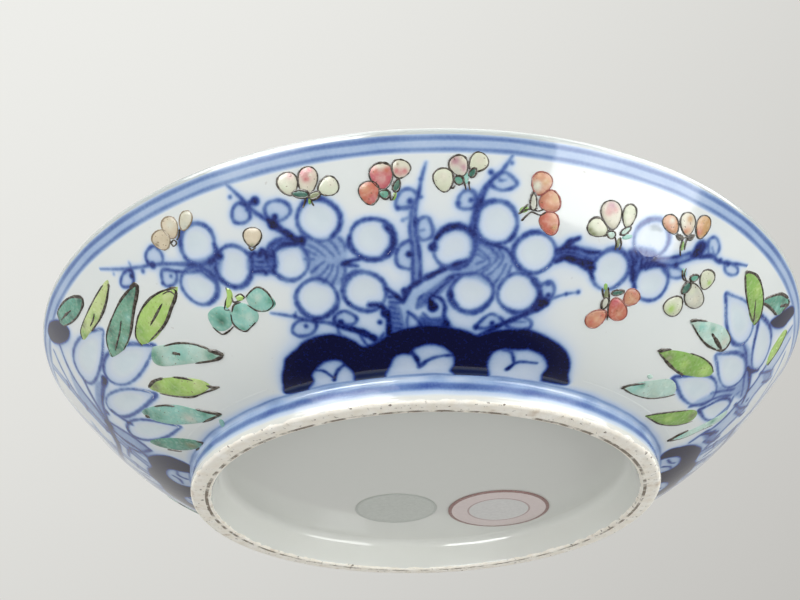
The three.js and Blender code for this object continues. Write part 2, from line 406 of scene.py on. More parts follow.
def lens_piece(name, windows, sheet, centre):
    """Glaze windows of one motif: shallow dimples that lap the clay, with the sheet's ink and painted shade
    on them.
    """
    shares = np.array([0.2, 0.4, 0.55, 0.66, 0.74, 0.8, 0.85, FLAT_FROM, 0.96, 1.0])
    dimple, lap_lift, edge_ink_and_shade = 0.14, 0.06, 0.24
    levels = np.concatenate([[0], shares])
    lifts = lap_lift - dimple * (1 - np.minimum(levels / FLAT_FROM, 1) ** 2) ** 1.5
    lifts[-1] = BURIED
    parts, ink, lap, wall = [], [], [], []
    for azimuth, climb, outline in windows:
        parts.append(plug(azimuth, climb, outline, shares, lifts))
        turns, climbs = ring_places(azimuth, climb, outline, shares)
        level = np.repeat(levels, [1] + [len(outline)] * len(shares))
        # each window darkens in blue toward its edge: partly cobalt haze, partly painted shade of the glaze
        # pool
        ink += [np.maximum(sheet.sample(turns - centre, climbs), edge_ink_and_shade * level**2.2), 0 * level]
        normals = wall_normals(turns, climbs)
        wall += [normals, -normals]
        lap += [level >= FLAT_FROM] * 2
    piece = add_mesh(name, *joined(parts), [("ink", "FLOAT", np.concatenate(ink))])
    own = np.zeros(len(piece.data.vertices) * 3)
    piece.data.vertices.foreach_get("normal", own)
    return shade_as(piece, np.where(np.concatenate(lap)[:, None], np.vstack(wall), own.reshape(-1, 3)))


def section_normals(section, places):
    """Outward directions at (radius, height) places on a half section, blended round its corners."""
    batch = 4000
    start, stop = section[:-1], section[1:]
    along = stop - start
    length = np.hypot(along[:, 0], along[:, 1])
    section_normal = np.stack([along[:, 1], -along[:, 0]], axis=1) / length[:, None]
    smooth = np.zeros((len(places), 2))
    for begin in range(0, len(places), batch):
        some = places[begin:begin + batch, None, :] - start[None]
        t = np.clip((some * along[None]).sum(-1) / (length**2)[None], 0, 1)
        away = np.hypot(*(some - t[..., None] * along[None]).transpose(2, 0, 1))
        best = away.argmin(1)
        share = t[np.arange(len(best)), best][:, None]
        before = section_normal[np.maximum(best - 1, 0)]
        here = section_normal[best]
        after = section_normal[np.minimum(best + 1, len(section_normal) - 1)]
        first_half = before * (0.5 - share) + here * (0.5 + share)
        last_half = here * (1.5 - share) + after * (share - 0.5)
        smooth[begin:begin + batch] = np.where(share < 0.5, first_half, last_half)
    return smooth / np.maximum(np.hypot(smooth[:, 0], smooth[:, 1]), TINY)[:, None]


def true_normals(body, profile):
    """Shades the cut body by its turned section, and hole walls by their own faces."""
    # a hole's wall faces further away from the section's normal than this
    hole_below = 0.6
    mesh = body.data
    points = np.zeros(len(mesh.vertices) * 3)
    mesh.vertices.foreach_get("co", points)
    points = points.reshape(-1, 3) / MM
    radius = np.hypot(points[:, 0], points[:, 1])
    smooth = section_normals(np.array(profile), np.stack([radius, points[:, 2]], axis=1))
    around = smooth[:, :1] * points[:, :2] / np.maximum(radius, TINY)[:, None]
    solid = np.hstack([around, smooth[:, 1:]])
    corner = np.zeros(len(mesh.loops), int)
    mesh.loops.foreach_get("vertex_index", corner)
    normals = solid[corner]
    face_normals = np.zeros(len(mesh.polygons) * 3)
    mesh.polygons.foreach_get("normal", face_normals)
    totals = np.zeros(len(mesh.polygons), int)
    mesh.polygons.foreach_get("loop_total", totals)
    own = np.repeat(face_normals.reshape(-1, 3), totals, axis=0)
    hole = (own * normals).sum(1) < hole_below
    normals[hole] = own[hole]
    mesh.normals_split_custom_set(normals.tolist())


def pierced_body():
    """Turned body with its openings cut through."""
    profile = body_section()
    body = lathe("porcelain", profile, BODY_COLUMNS)
    cut = cutter()
    boolean = body.modifiers.new("pierce", "BOOLEAN")
    boolean.operation = "DIFFERENCE"
    boolean.solver = "MANIFOLD"
    boolean.object = cut
    bpy.context.view_layer.update()
    pierced = bpy.data.meshes.new_from_object(body.evaluated_get(bpy.context.evaluated_depsgraph_get()))
    body.modifiers.clear()
    body.data = pierced
    bpy.data.objects.remove(cut)
    pierced.shade_smooth()
    true_normals(body, profile)
    return body


# Brush work on the wall

def smoothed(points, closed=False, per_span=8):
    """Points of a soft curve through the given ones."""
    points = np.asarray(points, float)
    if closed:
        padded = np.vstack([points[-1:], points, points[:2]])
    else:
        padded = np.vstack([2 * points[0] - points[1], points, 2 * points[-1] - points[-2]])
    out = []
    for i in range(1, len(padded) - 2):
        p0, p1, p2, p3 = padded[i - 1:i + 3]
        square = 2 * p0 - 5 * p1 + 4 * p2 - p3
        cube = 3 * p1 - p0 - 3 * p2 + p3
        for t in np.arange(per_span) / per_span:
            out.append(0.5 * (2 * p1 + (p2 - p0) * t + square * t**2 + cube * t**3))
    if not closed:
        out.append(points[-1])
    return np.array(out)


def cloud(across, up, size, seed):
    """Soft random field, 0 to 1, over positions in millimetres; size is about that of a blotch."""
    cells = 256
    lattice = np.random.default_rng(seed).random((cells, cells))
    x, y = across / size, up / size
    x0, y0 = np.floor(x).astype(int), np.floor(y).astype(int)
    fx, fy = x - x0, y - y0
    fx, fy = fx * fx * (3 - 2 * fx), fy * fy * (3 - 2 * fy)
    left, right = x0 % cells, (x0 + 1) % cells
    below, above = y0 % cells, (y0 + 1) % cells
    low = lattice[below, left] * (1 - fx) + lattice[below, right] * fx
    high = lattice[above, left] * (1 - fx) + lattice[above, right] * fx
    return low * (1 - fy) + high * fy


def blurred(field, spread):
    """Field softened by a bell of the given spread in grid steps."""
    reach = int(3 * spread)
    bell = np.exp(-0.5 * (np.arange(-reach, reach + 1) / spread) ** 2)
    bell /= bell.sum()
    for axis in (0, 1):
        margin = [(reach, reach) if axis == side else (0, 0) for side in (0, 1)]
        padded = np.pad(field, margin)
        count = field.shape[axis]
        field = sum(np.take(padded, np.arange(i, i + count), axis) * w for i, w in enumerate(bell))
    return field


def grown(mask):
    """Mask of a grid, made one point wider on every side."""
    padded = np.pad(mask, 1)
    aside = padded[1:-1, :-2] | padded[1:-1, 2:]
    return mask | aside | padded[:-2, 1:-1] | padded[2:, 1:-1]


# Step of a sheet's grid, the same both ways at this radius
STEP, STEP_RADIUS = 0.19, 62
TURN_STEP = math.degrees(STEP / STEP_RADIUS)
# Ink runs from 0, which is bare glaze, to 1. No stroke is darker than this; dots and fills may be.
DARKEST_STROKE = 0.88
# Fainter haze than this is left out
HAZE_END = 0.02
# Spread of the ink in the glaze
INK_SPREAD = 0.13
# share and spread of the hazes round it; the broad one, a faint blue darkening spread wide over the middle
# of a sheet, fades away before the azimuth where it stops
HAZES = [(0.47, 0.5), (0.14, 1.5)]
BROAD_HAZE = (0.22, 3.5)
BROAD_HAZE_STOP, BROAD_HAZE_FADE = 44, 8
# share and size of the blotches that make the ink uneven
BLOTCHES = [(0.55, 1.5), (0.45, 0.45)]
# Climbs where the rim band starts and the sheets stop
RIM_LOW, SHEET_TOP = 35.2, 37.0


class Sheet:
    """Cobalt on a stretch of the wall, held on a fine grid."""

    def __init__(self, start, stop, low, high):
        self.azimuth = np.arange(start, stop, TURN_STEP)
        self.climb = np.arange(low, high + STEP, STEP)
        self.radius = radius_at(self.climb)
        self.ink = np.zeros((len(self.climb), len(self.azimuth)))
        self.across = np.radians(self.azimuth)[None, :] * self.radius[:, None]

    def near(self, azimuth, climb, reach):
        """Grid window around a place, with sideways and upward distances from it."""
        c0, c1 = np.searchsorted(self.climb, [climb - reach, climb + reach])
        turn = math.degrees(reach / radius_at(max(climb - reach, 0)))
        a0, a1 = np.searchsorted(self.azimuth, [azimuth - turn, azimuth + turn])
        up = self.climb[c0:c1, None] - climb
        middle = (self.radius[c0:c1, None] + radius_at(climb)) / 2
        aside = np.radians(self.azimuth[None, a0:a1] - azimuth) * middle
        return (slice(c0, c1), slice(a0, a1)), aside, up + 0 * aside

    def near_step(self, start, stop, reach):
        """Grid window round a short straight step, with distances from the step."""
        middle = (start + stop) / 2
        dx = math.radians(stop[0] - start[0]) * radius_at(middle[1])
        dy = stop[1] - start[1]
        length = max(math.hypot(dx, dy), TINY)
        window, aside, up = self.near(middle[0], middle[1], length / 2 + reach)
        along = np.clip((aside * dx + up * dy) / length, -length / 2, length / 2)
        return window, np.hypot(aside - along * dx / length, up - along * dy / length)

    def lay(self, window, amount):
        """Ink over ink doesn't add up: the darker stays."""
        self.ink[window] = np.maximum(self.ink[window], amount)

    def stroke(self, points, width, dark, soft=0.2, closed=False):
        """One brush stroke in (azimuth, climb); width is one number, or several along the stroke."""
        path = smoothed(points, closed)
        if closed:
            path = np.vstack([path, path[:1]])
        row = np.atleast_1d(width)
        wide = np.interp(np.linspace(0, 1, len(path)), np.linspace(0, 1, len(row)), row)
        steps = np.arange(len(path))
        wobble = 1 + 0.12 * np.sin(steps * 0.7 + rng.random() * 6) + 0.1 * (rng.random(len(path)) - 0.5)
        shade = dark * (1 + 0.07 * np.sin(steps * 0.4 + rng.random() * 6))
        for i in range(len(path) - 1):
            half = wide[i] * wobble[i] / 2
            window, away = self.near_step(path[i], path[i + 1], half + soft * 2)
            self.lay(window, min(shade[i], DARKEST_STROKE) * edge_fade(away, half, soft))

    def dot(self, place, radius, dark, soft=0.2):
        window, aside, up = self.near(place[0], place[1], radius + soft * 2)
        self.lay(window, dark * edge_fade(np.hypot(aside, up), radius, soft))

    def distance_to(self, path, reach):
        """Distance to a closed path, and whether each grid point is inside it."""
        away = np.full(self.ink.shape, reach)
        inside = np.zeros(self.ink.shape, bool)
        for start, stop in zip(path, np.roll(path, -1, axis=0)):
            window, distance = self.near_step(start, stop, reach)
            away[window] = np.minimum(away[window], distance)
            if start[1] == stop[1]:
                continue
            crosses = (self.climb >= min(start[1], stop[1])) & (self.climb < max(start[1], stop[1]))
            at = start[0] + (stop[0] - start[0]) * (self.climb - start[1]) / (stop[1] - start[1])
            inside ^= crosses[:, None] & (self.azimuth[None, :] < at[:, None])
        return away, inside

    def fill(self, points, dark, soft=0.2, erase=False):
        """Even ink inside an outline; erase lets it lighten what is there."""
        away, inside = self.distance_to(smoothed(points, closed=True), soft * 2)
        signed = np.where(inside, -away, away)
        cover = np.clip(0.5 - signed / (2 * soft), 0, 1)
        if erase:
            self.ink = self.ink * (1 - cover) + dark * cover
        else:
            self.ink = np.maximum(self.ink, cover * dark)

    def settle(self, seed):
        """Pigment bleeding into the glaze, with a pale haze round it, a faint broad darkening over the
        sheet's middle, and darker gathered spots.
        """
        up = np.broadcast_to(self.climb[:, None], self.ink.shape)
        azimuth = np.broadcast_to(self.azimuth, self.ink.shape)
        field = sum(
            share * cloud(self.across, up, size, seed + i) for i, (share, size) in enumerate(BLOTCHES)
        )
        uneven = 0.75 * (1 - self.ink**4)
        ink = blurred(self.ink * (1 + uneven * (field - 0.5)), INK_SPREAD / STEP)
        haze = sum(share * blurred(self.ink, spread / STEP) for share, spread in HAZES)
        share, spread = BROAD_HAZE
        middle = np.clip((BROAD_HAZE_STOP - np.abs(azimuth)) / BROAD_HAZE_FADE, 0, 1)
        haze += share * middle * blurred(self.ink, spread / STEP)
        ink = ink + haze * (1 - ink)
        bands = np.maximum(rim_ink(azimuth, up), foot_ink(azimuth, up))
        self.ink = np.clip(np.maximum(ink, bands), 0, 1)

    def sample(self, azimuth, climb):
        """Ink at places on the wall, between the grid's points."""
        rows, columns = self.ink.shape
        row = np.clip((climb - self.climb[0]) / STEP, 0, rows - 1.001)
        column = np.clip((azimuth - self.azimuth[0]) / TURN_STEP, 0, columns - 1.001)
        r, c = row.astype(int), column.astype(int)
        up, right = row - r, column - c
        low = self.ink[r, c] * (1 - right) + self.ink[r, c + 1] * right
        high = self.ink[r + 1, c] * (1 - right) + self.ink[r + 1, c + 1] * right
        return low * (1 - up) + high * up

    def patch(self, name, centre, lift, holes):
        """Mesh of the painted part of the wall, leaving out bare glaze and windows."""
        ink = np.where(self.ink < HAZE_END, 0, self.ink)
        keep = grown(grown(ink > 0))
        for azimuth, climb, outline in holes:
            keep &= ~self.within(azimuth, climb, outline)
        rows, columns = self.ink.shape
        quads = grid_faces(rows, columns)
        quads = quads[keep.ravel()[quads].all(axis=1)]
        used = np.unique(quads)
        renumber = np.full(rows * columns, -1)
        renumber[used] = np.arange(len(used))
        azimuth, climb = np.broadcast_arrays(self.azimuth[None, :], self.climb[:, None])
        azimuth, climb = azimuth.ravel()[used] + centre, climb.ravel()[used]
        quads_there = np.bincount(quads.ravel(), minlength=rows * columns)[used]
        points = on_wall(azimuth, climb, np.where(quads_there == 4, lift, BURIED))
        piece = add_mesh(name, points, renumber[quads].tolist(), [("ink", "FLOAT", ink.ravel()[used])])
        return shade_as(piece, wall_normals(azimuth, climb))

    def within(self, azimuth, climb, outline):
        """Grid points inside a window outline around a place."""
        mask = np.zeros(self.ink.shape, bool)
        reach = np.hypot(outline[:, 0], outline[:, 1]).max() + 0.5
        window, aside, up = self.near(azimuth, climb, reach)
        inside = np.zeros(aside.shape, bool)
        for (x0, y0), (x1, y1) in zip(outline, np.roll(outline, -1, axis=0)):
            if y0 == y1:
                continue
            inside ^= ((y0 > up) != (y1 > up)) & (aside < x0 + (x1 - x0) * (up - y0) / (y1 - y0))
        mask[window] = inside
        return mask


def edge_fade(away, half, soft):
    """1 within a line of this half width, falling softly to 0 at its edge."""
    t = np.clip((half + soft - away) / (2 * soft), 0, 1)
    return t * t * (3 - 2 * t)


# Plum tree in cobalt, by points of the photograph

# strokes: widths along it, darkness, points
TREE_STROKES = [
    # left bough and its tip
    ((0.3, 0.5, 0.7), 0.68, [(100, 269), (120, 269), (140, 267), (160, 264), (180, 264), (198, 265),
        (212, 263)]),
    ((0.4, 0.5), 0.74, [(163, 269), (175, 271), (190, 272), (205, 270)]),
    ((0.4, 0.5), 0.7, [(186, 264), (200, 267), (210, 272), (218, 279)]),
    ((0.4, 0.5), 0.65, [(192, 268), (204, 273), (214, 281)]),
    ((0.5, 0.4), 0.75, [(206, 262), (212, 257), (219, 252)]),
    ((0.5, 0.4), 0.75, [(210, 266), (216, 259), (222, 256)]),
    ((0.4, 0.4), 0.65, [(212, 270), (218, 264)]),
    ((0.35, 0.25), 0.6, [(130, 271), (131, 266), (129, 262)]),
    # knuckle between two fruits
    ((0.5, 0.8, 0.5), 0.82, [(250, 257), (254, 253), (259, 256), (262, 250), (266, 255), (274, 257)]),
    ((0.45, 0.45), 0.75, [(250, 261), (262, 262), (274, 261)]),
    ((0.4, 0.4), 0.72, [(251, 266), (262, 267), (274, 266)]),
    ((0.5, 0.6), 0.8, [(251, 272), (262, 271), (274, 272)]),
    ((0.7, 0.6), 0.85, [(273, 252), (275, 262), (274, 273)]),
    ((0.6, 0.5), 0.75, [(250, 253), (253, 262), (251, 273)]),
    # left diagonal bough
    ((0.35, 0.5, 0.7), 0.72, [(225, 183), (240, 197), (255, 212), (270, 222)]),
    ((1.0, 1.1, 1.0, 0.8), 0.82, [(269, 221), (280, 229), (291, 236), (303, 243)]),
    ((0.5, 0.4), 0.9, [(272, 225), (284, 234), (298, 243)]),
    # lower left twig
    ((0.3, 0.5, 0.7), 0.66, [(271, 313), (285, 315), (300, 318), (315, 321), (330, 323), (342, 327)]),
    ((0.7, 1.1, 1.1), 0.9, [(338, 326), (352, 329), (364, 333), (374, 338)]),
    ((0.5, 0.5), 0.6, [(338, 328), (340, 335), (346, 338)]),
    ((0.4, 0.4), 0.65, [(360, 335), (368, 345), (378, 341), (384, 333)]),
    ((0.3, 0.3), 0.6, [(296, 312), (295, 318)]),
    # trunk
    ((0.6, 0.75, 0.7), 0.84, [(385, 288), (394, 294), (403, 302)]),
    ((0.85, 0.85, 0.75, 0.6), 0.83, [(403, 301), (410, 288), (420, 281), (432, 275), (444, 269),
        (456, 264), (468, 260)]),
    ((0.6, 0.8, 0.85, 0.9), 0.93, [(369, 305), (379, 305), (386, 311), (389, 321), (389, 334)]),
    ((0.3, 0.5, 0.4), 0.84, [(454, 277), (446, 283), (438, 290), (430, 298), (431, 303)]),
    ((0.4, 0.5), 0.66, [(424, 294), (419, 299), (417, 307)]),
    ((0.45, 0.5), 0.7, [(471, 274), (462, 274), (452, 276), (444, 281)]),
    ((0.45, 0.6, 0.65, 0.8), 0.78, [(431, 295), (441, 299), (445, 307), (444, 316), (449, 327)]),
    ((0.35, 0.4), 0.66, [(423, 313), (430, 319), (440, 321)]),
    ((0.5, 0.45), 0.74, [(408, 312), (415, 317), (422, 326)]),
    ((0.35, 0.35), 0.56, [(409, 313), (407, 320), (408, 330)]),
    # upright twig
    ((0.6, 0.5, 0.45), 0.68, [(413, 285), (413, 262), (412, 245), (410, 230), (411, 216), (413, 203)]),
    ((0.6, 0.6, 0.5, 0.3), 0.72, [(420, 283), (420, 262), (418, 245), (415, 230), (415, 218), (416, 206),
        (419, 192), (422, 176), (426, 162)]),
    # right fan and twig
    ((0.6, 0.8, 0.6, 0.3), 0.72, [(468, 232), (473, 220), (477, 206), (482, 193), (491, 181), (501, 172),
        (507, 164), (513, 155)]),
    ((0.7, 0.6, 0.4), 0.78, [(474, 232), (477, 218), (480, 205), (486, 190), (494, 178)]),
    ((0.6, 0.5), 0.75, [(470, 234), (484, 242), (497, 246), (507, 249)]),
    ((0.4, 0.35), 0.6, [(474, 240), (484, 245), (494, 250), (500, 258)]),
    ((0.4, 0.35), 0.6, [(473, 246), (482, 252), (488, 258), (490, 263)]),
    ((0.4, 0.35), 0.6, [(471, 253), (479, 255), (485, 260), (476, 264)]),
    ((0.4, 0.35), 0.62, [(499, 249), (503, 257), (500, 264), (492, 272), (483, 278)]),
    ((0.4, 0.35), 0.6, [(492, 250), (497, 257), (492, 265), (481, 273)]),
    ((0.4, 0.35), 0.62, [(506, 264), (501, 274), (494, 284)]),
    ((0.4, 0.35), 0.62, [(511, 266), (507, 276), (500, 286)]),
    ((0.4, 0.35), 0.6, [(490, 264), (480, 270), (468, 275)]),
    ((0.5, 0.5), 0.8, [(506, 249), (511, 255), (514, 262)]),
    # right bough
    ((0.7, 0.7, 0.5), 0.86, [(557, 250), (565, 248), (575, 248), (588, 252), (600, 252)]),
    ((0.8, 1.0, 0.6), 0.9, [(564, 247), (570, 242), (579, 238)]),
    ((0.5, 0.4), 0.75, [(556, 254), (566, 252), (577, 254), (590, 259)]),
    ((0.4, 0.4), 0.75, [(556, 258), (566, 255), (577, 258), (592, 262)]),
    ((0.6, 1.0, 1.4, 0.8), 0.9, [(555, 262), (565, 258), (577, 261), (588, 265), (593, 268)]),
    ((0.7, 0.8), 0.86, [(630, 252), (633, 262), (631, 273)]),
    ((0.5, 0.45), 0.84, [(633, 249), (637, 256), (635, 266)]),
    ((0.5, 0.45), 0.84, [(640, 249), (642, 258), (640, 267)]),
    ((0.5, 0.45), 0.84, [(646, 251), (647, 260), (644, 268)]),
    ((0.8, 0.5), 0.8, [(655, 257), (651, 263), (646, 269)]),
    ((0.5, 0.5), 0.78, [(655, 259), (668, 258), (680, 256), (690, 253)]),
    ((0.7, 0.5, 0.4), 0.8, [(648, 267), (660, 265), (672, 265), (682, 262), (694, 258)]),
    ((0.8, 0.6, 0.25), 0.76, [(700, 257), (711, 256), (718, 261), (727, 263), (738, 264), (748, 266)]),
    # lower right twig
    ((1.2, 0.9, 0.8, 0.5), 0.78, [(546, 303), (536, 309), (527, 313), (514, 319), (500, 325), (488, 331),
        (479, 335)]),
    ((0.4, 0.3), 0.62, [(546, 302), (556, 297), (566, 294), (578, 292)]),
    # spurs
    ((0.8, 0.4), 0.8, [(343, 264), (350, 261), (360, 259)]),
    ((0.8, 0.3), 0.8, [(343, 264), (351, 265), (358, 266)]),
    ((0.3, 0.3), 0.55, [(345, 267), (345, 275), (343, 285)]),
    ((0.3, 0.3), 0.45, [(405, 219), (411, 216)]),
]
# stripes of the left fan, from its middle outwards
STRIPES = [
    [(325, 256), (316, 249), (309, 245)], [(334, 256), (326, 248), (316, 241)],
    [(340, 255), (335, 246), (329, 240)], [(345, 251), (344, 244), (339, 238)],
    [(318, 256), (312, 253), (305, 250)], [(314, 259), (309, 259), (305, 259)],
    [(325, 261), (320, 265), (312, 272)], [(329, 265), (325, 271), (318, 277)],
    [(333, 265), (331, 272), (324, 282)], [(338, 265), (337, 274), (333, 283)],
    [(345, 264), (345, 272), (342, 280)],
]
# short bars across the trunk
BARK = [
    [(389, 297), (399, 298)], [(390, 302), (400, 303)], [(390, 307), (399, 309)],
    [(390, 312), (400, 314)], [(391, 317), (400, 319)], [(391, 322), (402, 324)],
    [(391, 327), (403, 329)],
]
# thick places on the rings of the fruits
RING_STROKES = [
    ((0.5, 1.1, 0.8), 0.88, [(433, 246), (438, 236), (446, 229), (457, 226), (467, 229), (475, 235)]),
    ((0.6, 0.9, 0.6), 0.82, [(385, 226), (393, 237), (391, 248), (383, 256)]),
    ((0.5, 0.6, 0.5), 0.85, [(340, 217), (339, 227), (332, 236)]),
    ((0.5, 0.85, 0.6), 0.82, [(532, 281), (539, 290), (539, 300), (532, 308)]),
    ((0.6, 0.8, 0.6), 0.74, [(451, 291), (452, 300), (457, 306)]),
    ((0.5, 0.9, 0.7), 0.84, [(273, 252), (283, 245), (296, 244)]),
    ((0.5, 0.8, 0.5), 0.82, [(592, 262), (590, 270), (593, 279)]),
    ((0.5, 0.8, 0.5), 0.84, [(635, 270), (632, 278), (635, 288)]),
    ((0.6, 0.8, 0.6), 0.78, [(214, 244), (217, 252), (212, 260)]),
    ((0.5, 0.8, 0.5), 0.8, [(505, 243), (513, 236), (517, 226)]),
    ((0.5, 0.7, 0.5), 0.78, [(349, 236), (349, 246), (354, 252)]),
]
# wood: darkness, outline
WOOD = [
    (0.3, [(186, 262), (205, 258), (221, 250), (222, 262), (219, 281), (208, 279), (196, 271)]),
    (0.36, [(250, 254), (274, 255), (275, 273), (250, 273)]),
    (0.2, [(303, 240), (320, 238), (340, 236), (348, 246), (346, 262), (344, 284), (318, 284), (308, 271),
        (302, 256)]),
    (0.2, [(470, 235), (484, 242), (498, 246), (509, 250), (512, 268), (504, 284), (492, 288), (478, 280),
        (462, 275), (470, 252)]),
    (0.42, [(557, 249), (566, 245), (578, 246), (598, 251), (593, 264), (586, 266), (566, 258),
        (557, 262)]),
    (0.46, [(629, 249), (652, 249), (658, 258), (648, 268), (632, 271)]),
    (0.34, [(650, 262), (676, 257), (694, 251), (700, 257), (678, 265), (652, 268)]),
    (0.42, [(389, 303), (397, 304), (402, 312), (404, 332), (390, 334)]),
    (0.1, [(404, 303), (420, 288), (456, 268), (450, 278), (428, 290), (414, 306), (410, 332),
        (402, 332)]),
    (0.46, [(416, 309), (417, 299), (424, 293), (432, 287), (442, 280), (453, 273), (471, 273),
        (455, 281), (443, 291), (432, 302), (424, 306)]),
    (0.52, [(420, 316), (430, 318), (442, 317), (449, 322), (452, 331), (420, 331)]),
    (0.26, [(412, 285), (412, 244), (411, 222), (415, 206), (415, 226), (420, 260), (420, 285)]),
    (0.4, [(468, 234), (474, 216), (480, 200), (484, 200), (479, 218), (476, 234)]),
    (0.86, [(689, 257), (693, 250), (697, 243), (702, 240), (707, 244), (705, 251), (700, 257),
        (694, 259)]),
    (0.88, [(536, 300), (545, 297), (550, 300), (546, 306), (538, 307)]),
]
# buds: darkness of the outline, outline
BUDS = [
    (0.66, [(150, 264), (146, 257), (148, 250), (154, 246), (160, 251), (163, 258), (161, 264)]),
    (0.7, [(132, 271), (126, 271), (122, 277), (121, 284), (125, 287), (131, 286), (134, 280)]),
    (0.62, [(163, 270), (162, 278), (165, 285), (171, 286), (176, 282), (177, 275), (174, 271)]),
    (0.66, [(248, 208), (240, 203), (234, 207), (232, 215), (235, 222), (243, 223), (250, 218)]),
    (0.6, [(270, 220), (265, 213), (266, 205), (273, 201), (282, 201), (289, 206), (290, 213), (284, 219),
        (277, 221)]),
    (0.62, [(315, 322), (302, 320), (294, 325), (293, 332), (300, 336), (311, 334), (316, 328)]),
    (0.62, [(335, 322), (336, 315), (344, 311), (352, 314), (357, 319), (353, 324), (344, 324)]),
    (0.56, [(412, 206), (402, 208), (396, 206), (398, 195), (406, 189), (414, 191), (417, 198)]),
    (0.58, [(416, 226), (420, 219), (427, 217), (431, 223), (433, 231), (430, 238), (420, 239)]),
    (0.66, [(412, 243), (404, 243), (398, 249), (396, 257), (398, 265), (405, 268), (412, 267)]),
    (0.6, [(475, 194), (468, 190), (461, 194), (458, 201), (459, 207), (466, 209), (474, 207)]),
    (0.6, [(491, 183), (496, 175), (504, 172), (511, 176), (517, 183), (512, 188), (503, 190),
        (495, 188)]),
    (0.56, [(708, 243), (711, 238), (716, 238), (719, 245), (718, 252), (713, 257), (709, 256)]),
    (0.58, [(725, 262), (731, 264), (737, 268), (737, 273), (731, 275), (725, 271)]),
    (0.56, [(664, 268), (673, 267), (681, 270), (684, 275), (676, 278), (667, 275)]),
    (0.6, [(542, 296), (540, 289), (544, 283), (551, 282), (554, 289), (552, 296), (547, 299)]),
    (0.62, [(476, 327), (483, 319), (491, 314), (499, 317), (503, 322), (495, 326), (485, 328)]),
    (0.56, [(506, 323), (514, 318), (524, 317), (531, 322), (529, 328), (519, 329), (509, 327)]),
]
# short marks inside the buds
BUD_TICKS = [
    [(416, 231), (424, 230)], [(499, 181), (506, 180)], [(712, 247), (714, 255)],
    [(516, 322), (526, 322)],
]
# dots: point, radius, darkness
TREE_DOTS = [
    (153, 265, 0.6, 0.95), (132, 276, 0.5, 0.85), (171, 276, 0.3, 0.7), (163, 283, 0.35, 0.8),
    (248, 209, 0.4, 0.8), (255, 201, 0.7, 0.92), (250, 203, 0.4, 0.8), (273, 224, 0.85, 0.98),
    (275, 217, 0.5, 0.85), (230, 197, 0.3, 0.7), (306, 326, 0.35, 0.75), (341, 322, 0.5, 0.9),
    (410, 201, 0.45, 0.85), (398, 208, 0.4, 0.75), (409, 254, 0.5, 0.9), (403, 220, 0.3, 0.5),
    (421, 179, 0.3, 0.75), (421, 197, 0.25, 0.7), (471, 200, 0.35, 0.85), (458, 203, 0.4, 0.75),
    (512, 163, 0.3, 0.7), (491, 172, 0.4, 0.7), (500, 180, 0.3, 0.6), (728, 264, 0.45, 0.85),
    (720, 261, 0.5, 0.8), (566, 294, 0.3, 0.8), (578, 292, 0.35, 0.8), (548, 295, 0.4, 0.9),
    (548, 283, 0.5, 0.75), (492, 323, 0.4, 0.85), (476, 327, 0.5, 0.75), (433, 247, 0.7, 1.0),
    (433, 307, 0.8, 1.0), (405, 291, 0.6, 0.85), (302, 240, 0.7, 0.95), (427, 276, 0.4, 0.7),
    (442, 268, 0.4, 0.75), (454, 265, 0.45, 0.85), (431, 302, 0.5, 0.9), (446, 323, 0.6, 0.85),
    (266, 273, 0.4, 0.85), (114, 274, 0.25, 0.5), (143, 271, 0.4, 0.65), (295, 316, 0.4, 0.8),
    (676, 265, 0.5, 0.85), (380, 322, 0.4, 0.75), (588, 265, 0.9, 1.0), (386, 313, 0.8, 1.0),
    (210, 262, 0.5, 0.8), (220, 256, 0.6, 0.85),
]
# rock under the tree, its pale hollows, and the strokes over them
ROCK = [
    (287, 394), (283, 385), (282, 376), (284, 366), (285, 359), (290, 354), (297, 348), (303, 342),
    (311, 338), (321, 335), (333, 334), (345, 337), (355, 341), (362, 346), (370, 346), (378, 342),
    (388, 335), (397, 331), (406, 328), (420, 326), (440, 326), (455, 328), (467, 331), (476, 335),
    (482, 335), (490, 332), (500, 330), (515, 329), (530, 330), (541, 334), (551, 339), (560, 345),
    (567, 353), (570, 363), (568, 375), (565, 385), (520, 378), (480, 376), (435, 376), (400, 377),
    (350, 382), (320, 388),
]
CAVES = [
    [(313, 393), (314, 381), (312, 375), (317, 368), (325, 362), (334, 360), (341, 361), (346, 366),
        (352, 371), (354, 378), (352, 388)],
    [(391, 382), (391, 365), (395, 357), (402, 354), (410, 354), (414, 349), (425, 345), (437, 345),
        (447, 349), (453, 356), (454, 364), (450, 370), (448, 381)],
    [(494, 381), (488, 369), (489, 359), (495, 351), (505, 349), (517, 350), (530, 350), (542, 356),
        (547, 366), (542, 374), (536, 382)],
]
CAVE_STROKES = [
    ((0.3, 0.55, 0.4), 0.74, [(315, 370), (324, 371), (333, 377)]),
    ((0.6, 0.5, 0.4), 0.8, [(334, 380), (338, 370), (347, 363)]),
    ((0.5, 0.8, 0.5), 0.86, [(397, 352), (408, 351), (415, 356), (418, 362), (420, 367)]),
    ((0.8, 0.5, 0.4), 0.74, [(419, 367), (428, 360), (440, 356), (453, 355)]),
    ((0.4, 0.6, 0.4), 0.76, [(503, 350), (511, 352), (514, 362)]),
    ((0.7, 0.5, 0.35), 0.74, [(507, 369), (518, 362), (537, 363)]),
]


# Azimuths that a tree and a stand spread over, about their own middle
TREE_SPAN, STAND_SPAN = (-46.5, 47.5), (-46, 46)
TREE_SEED, STAND_SEED = 21, 41
# Distance of a painted ring from its window, and how far its tip is drawn out round a leaf
RING_AWAY, RING_POINT = 0.3, 0.9


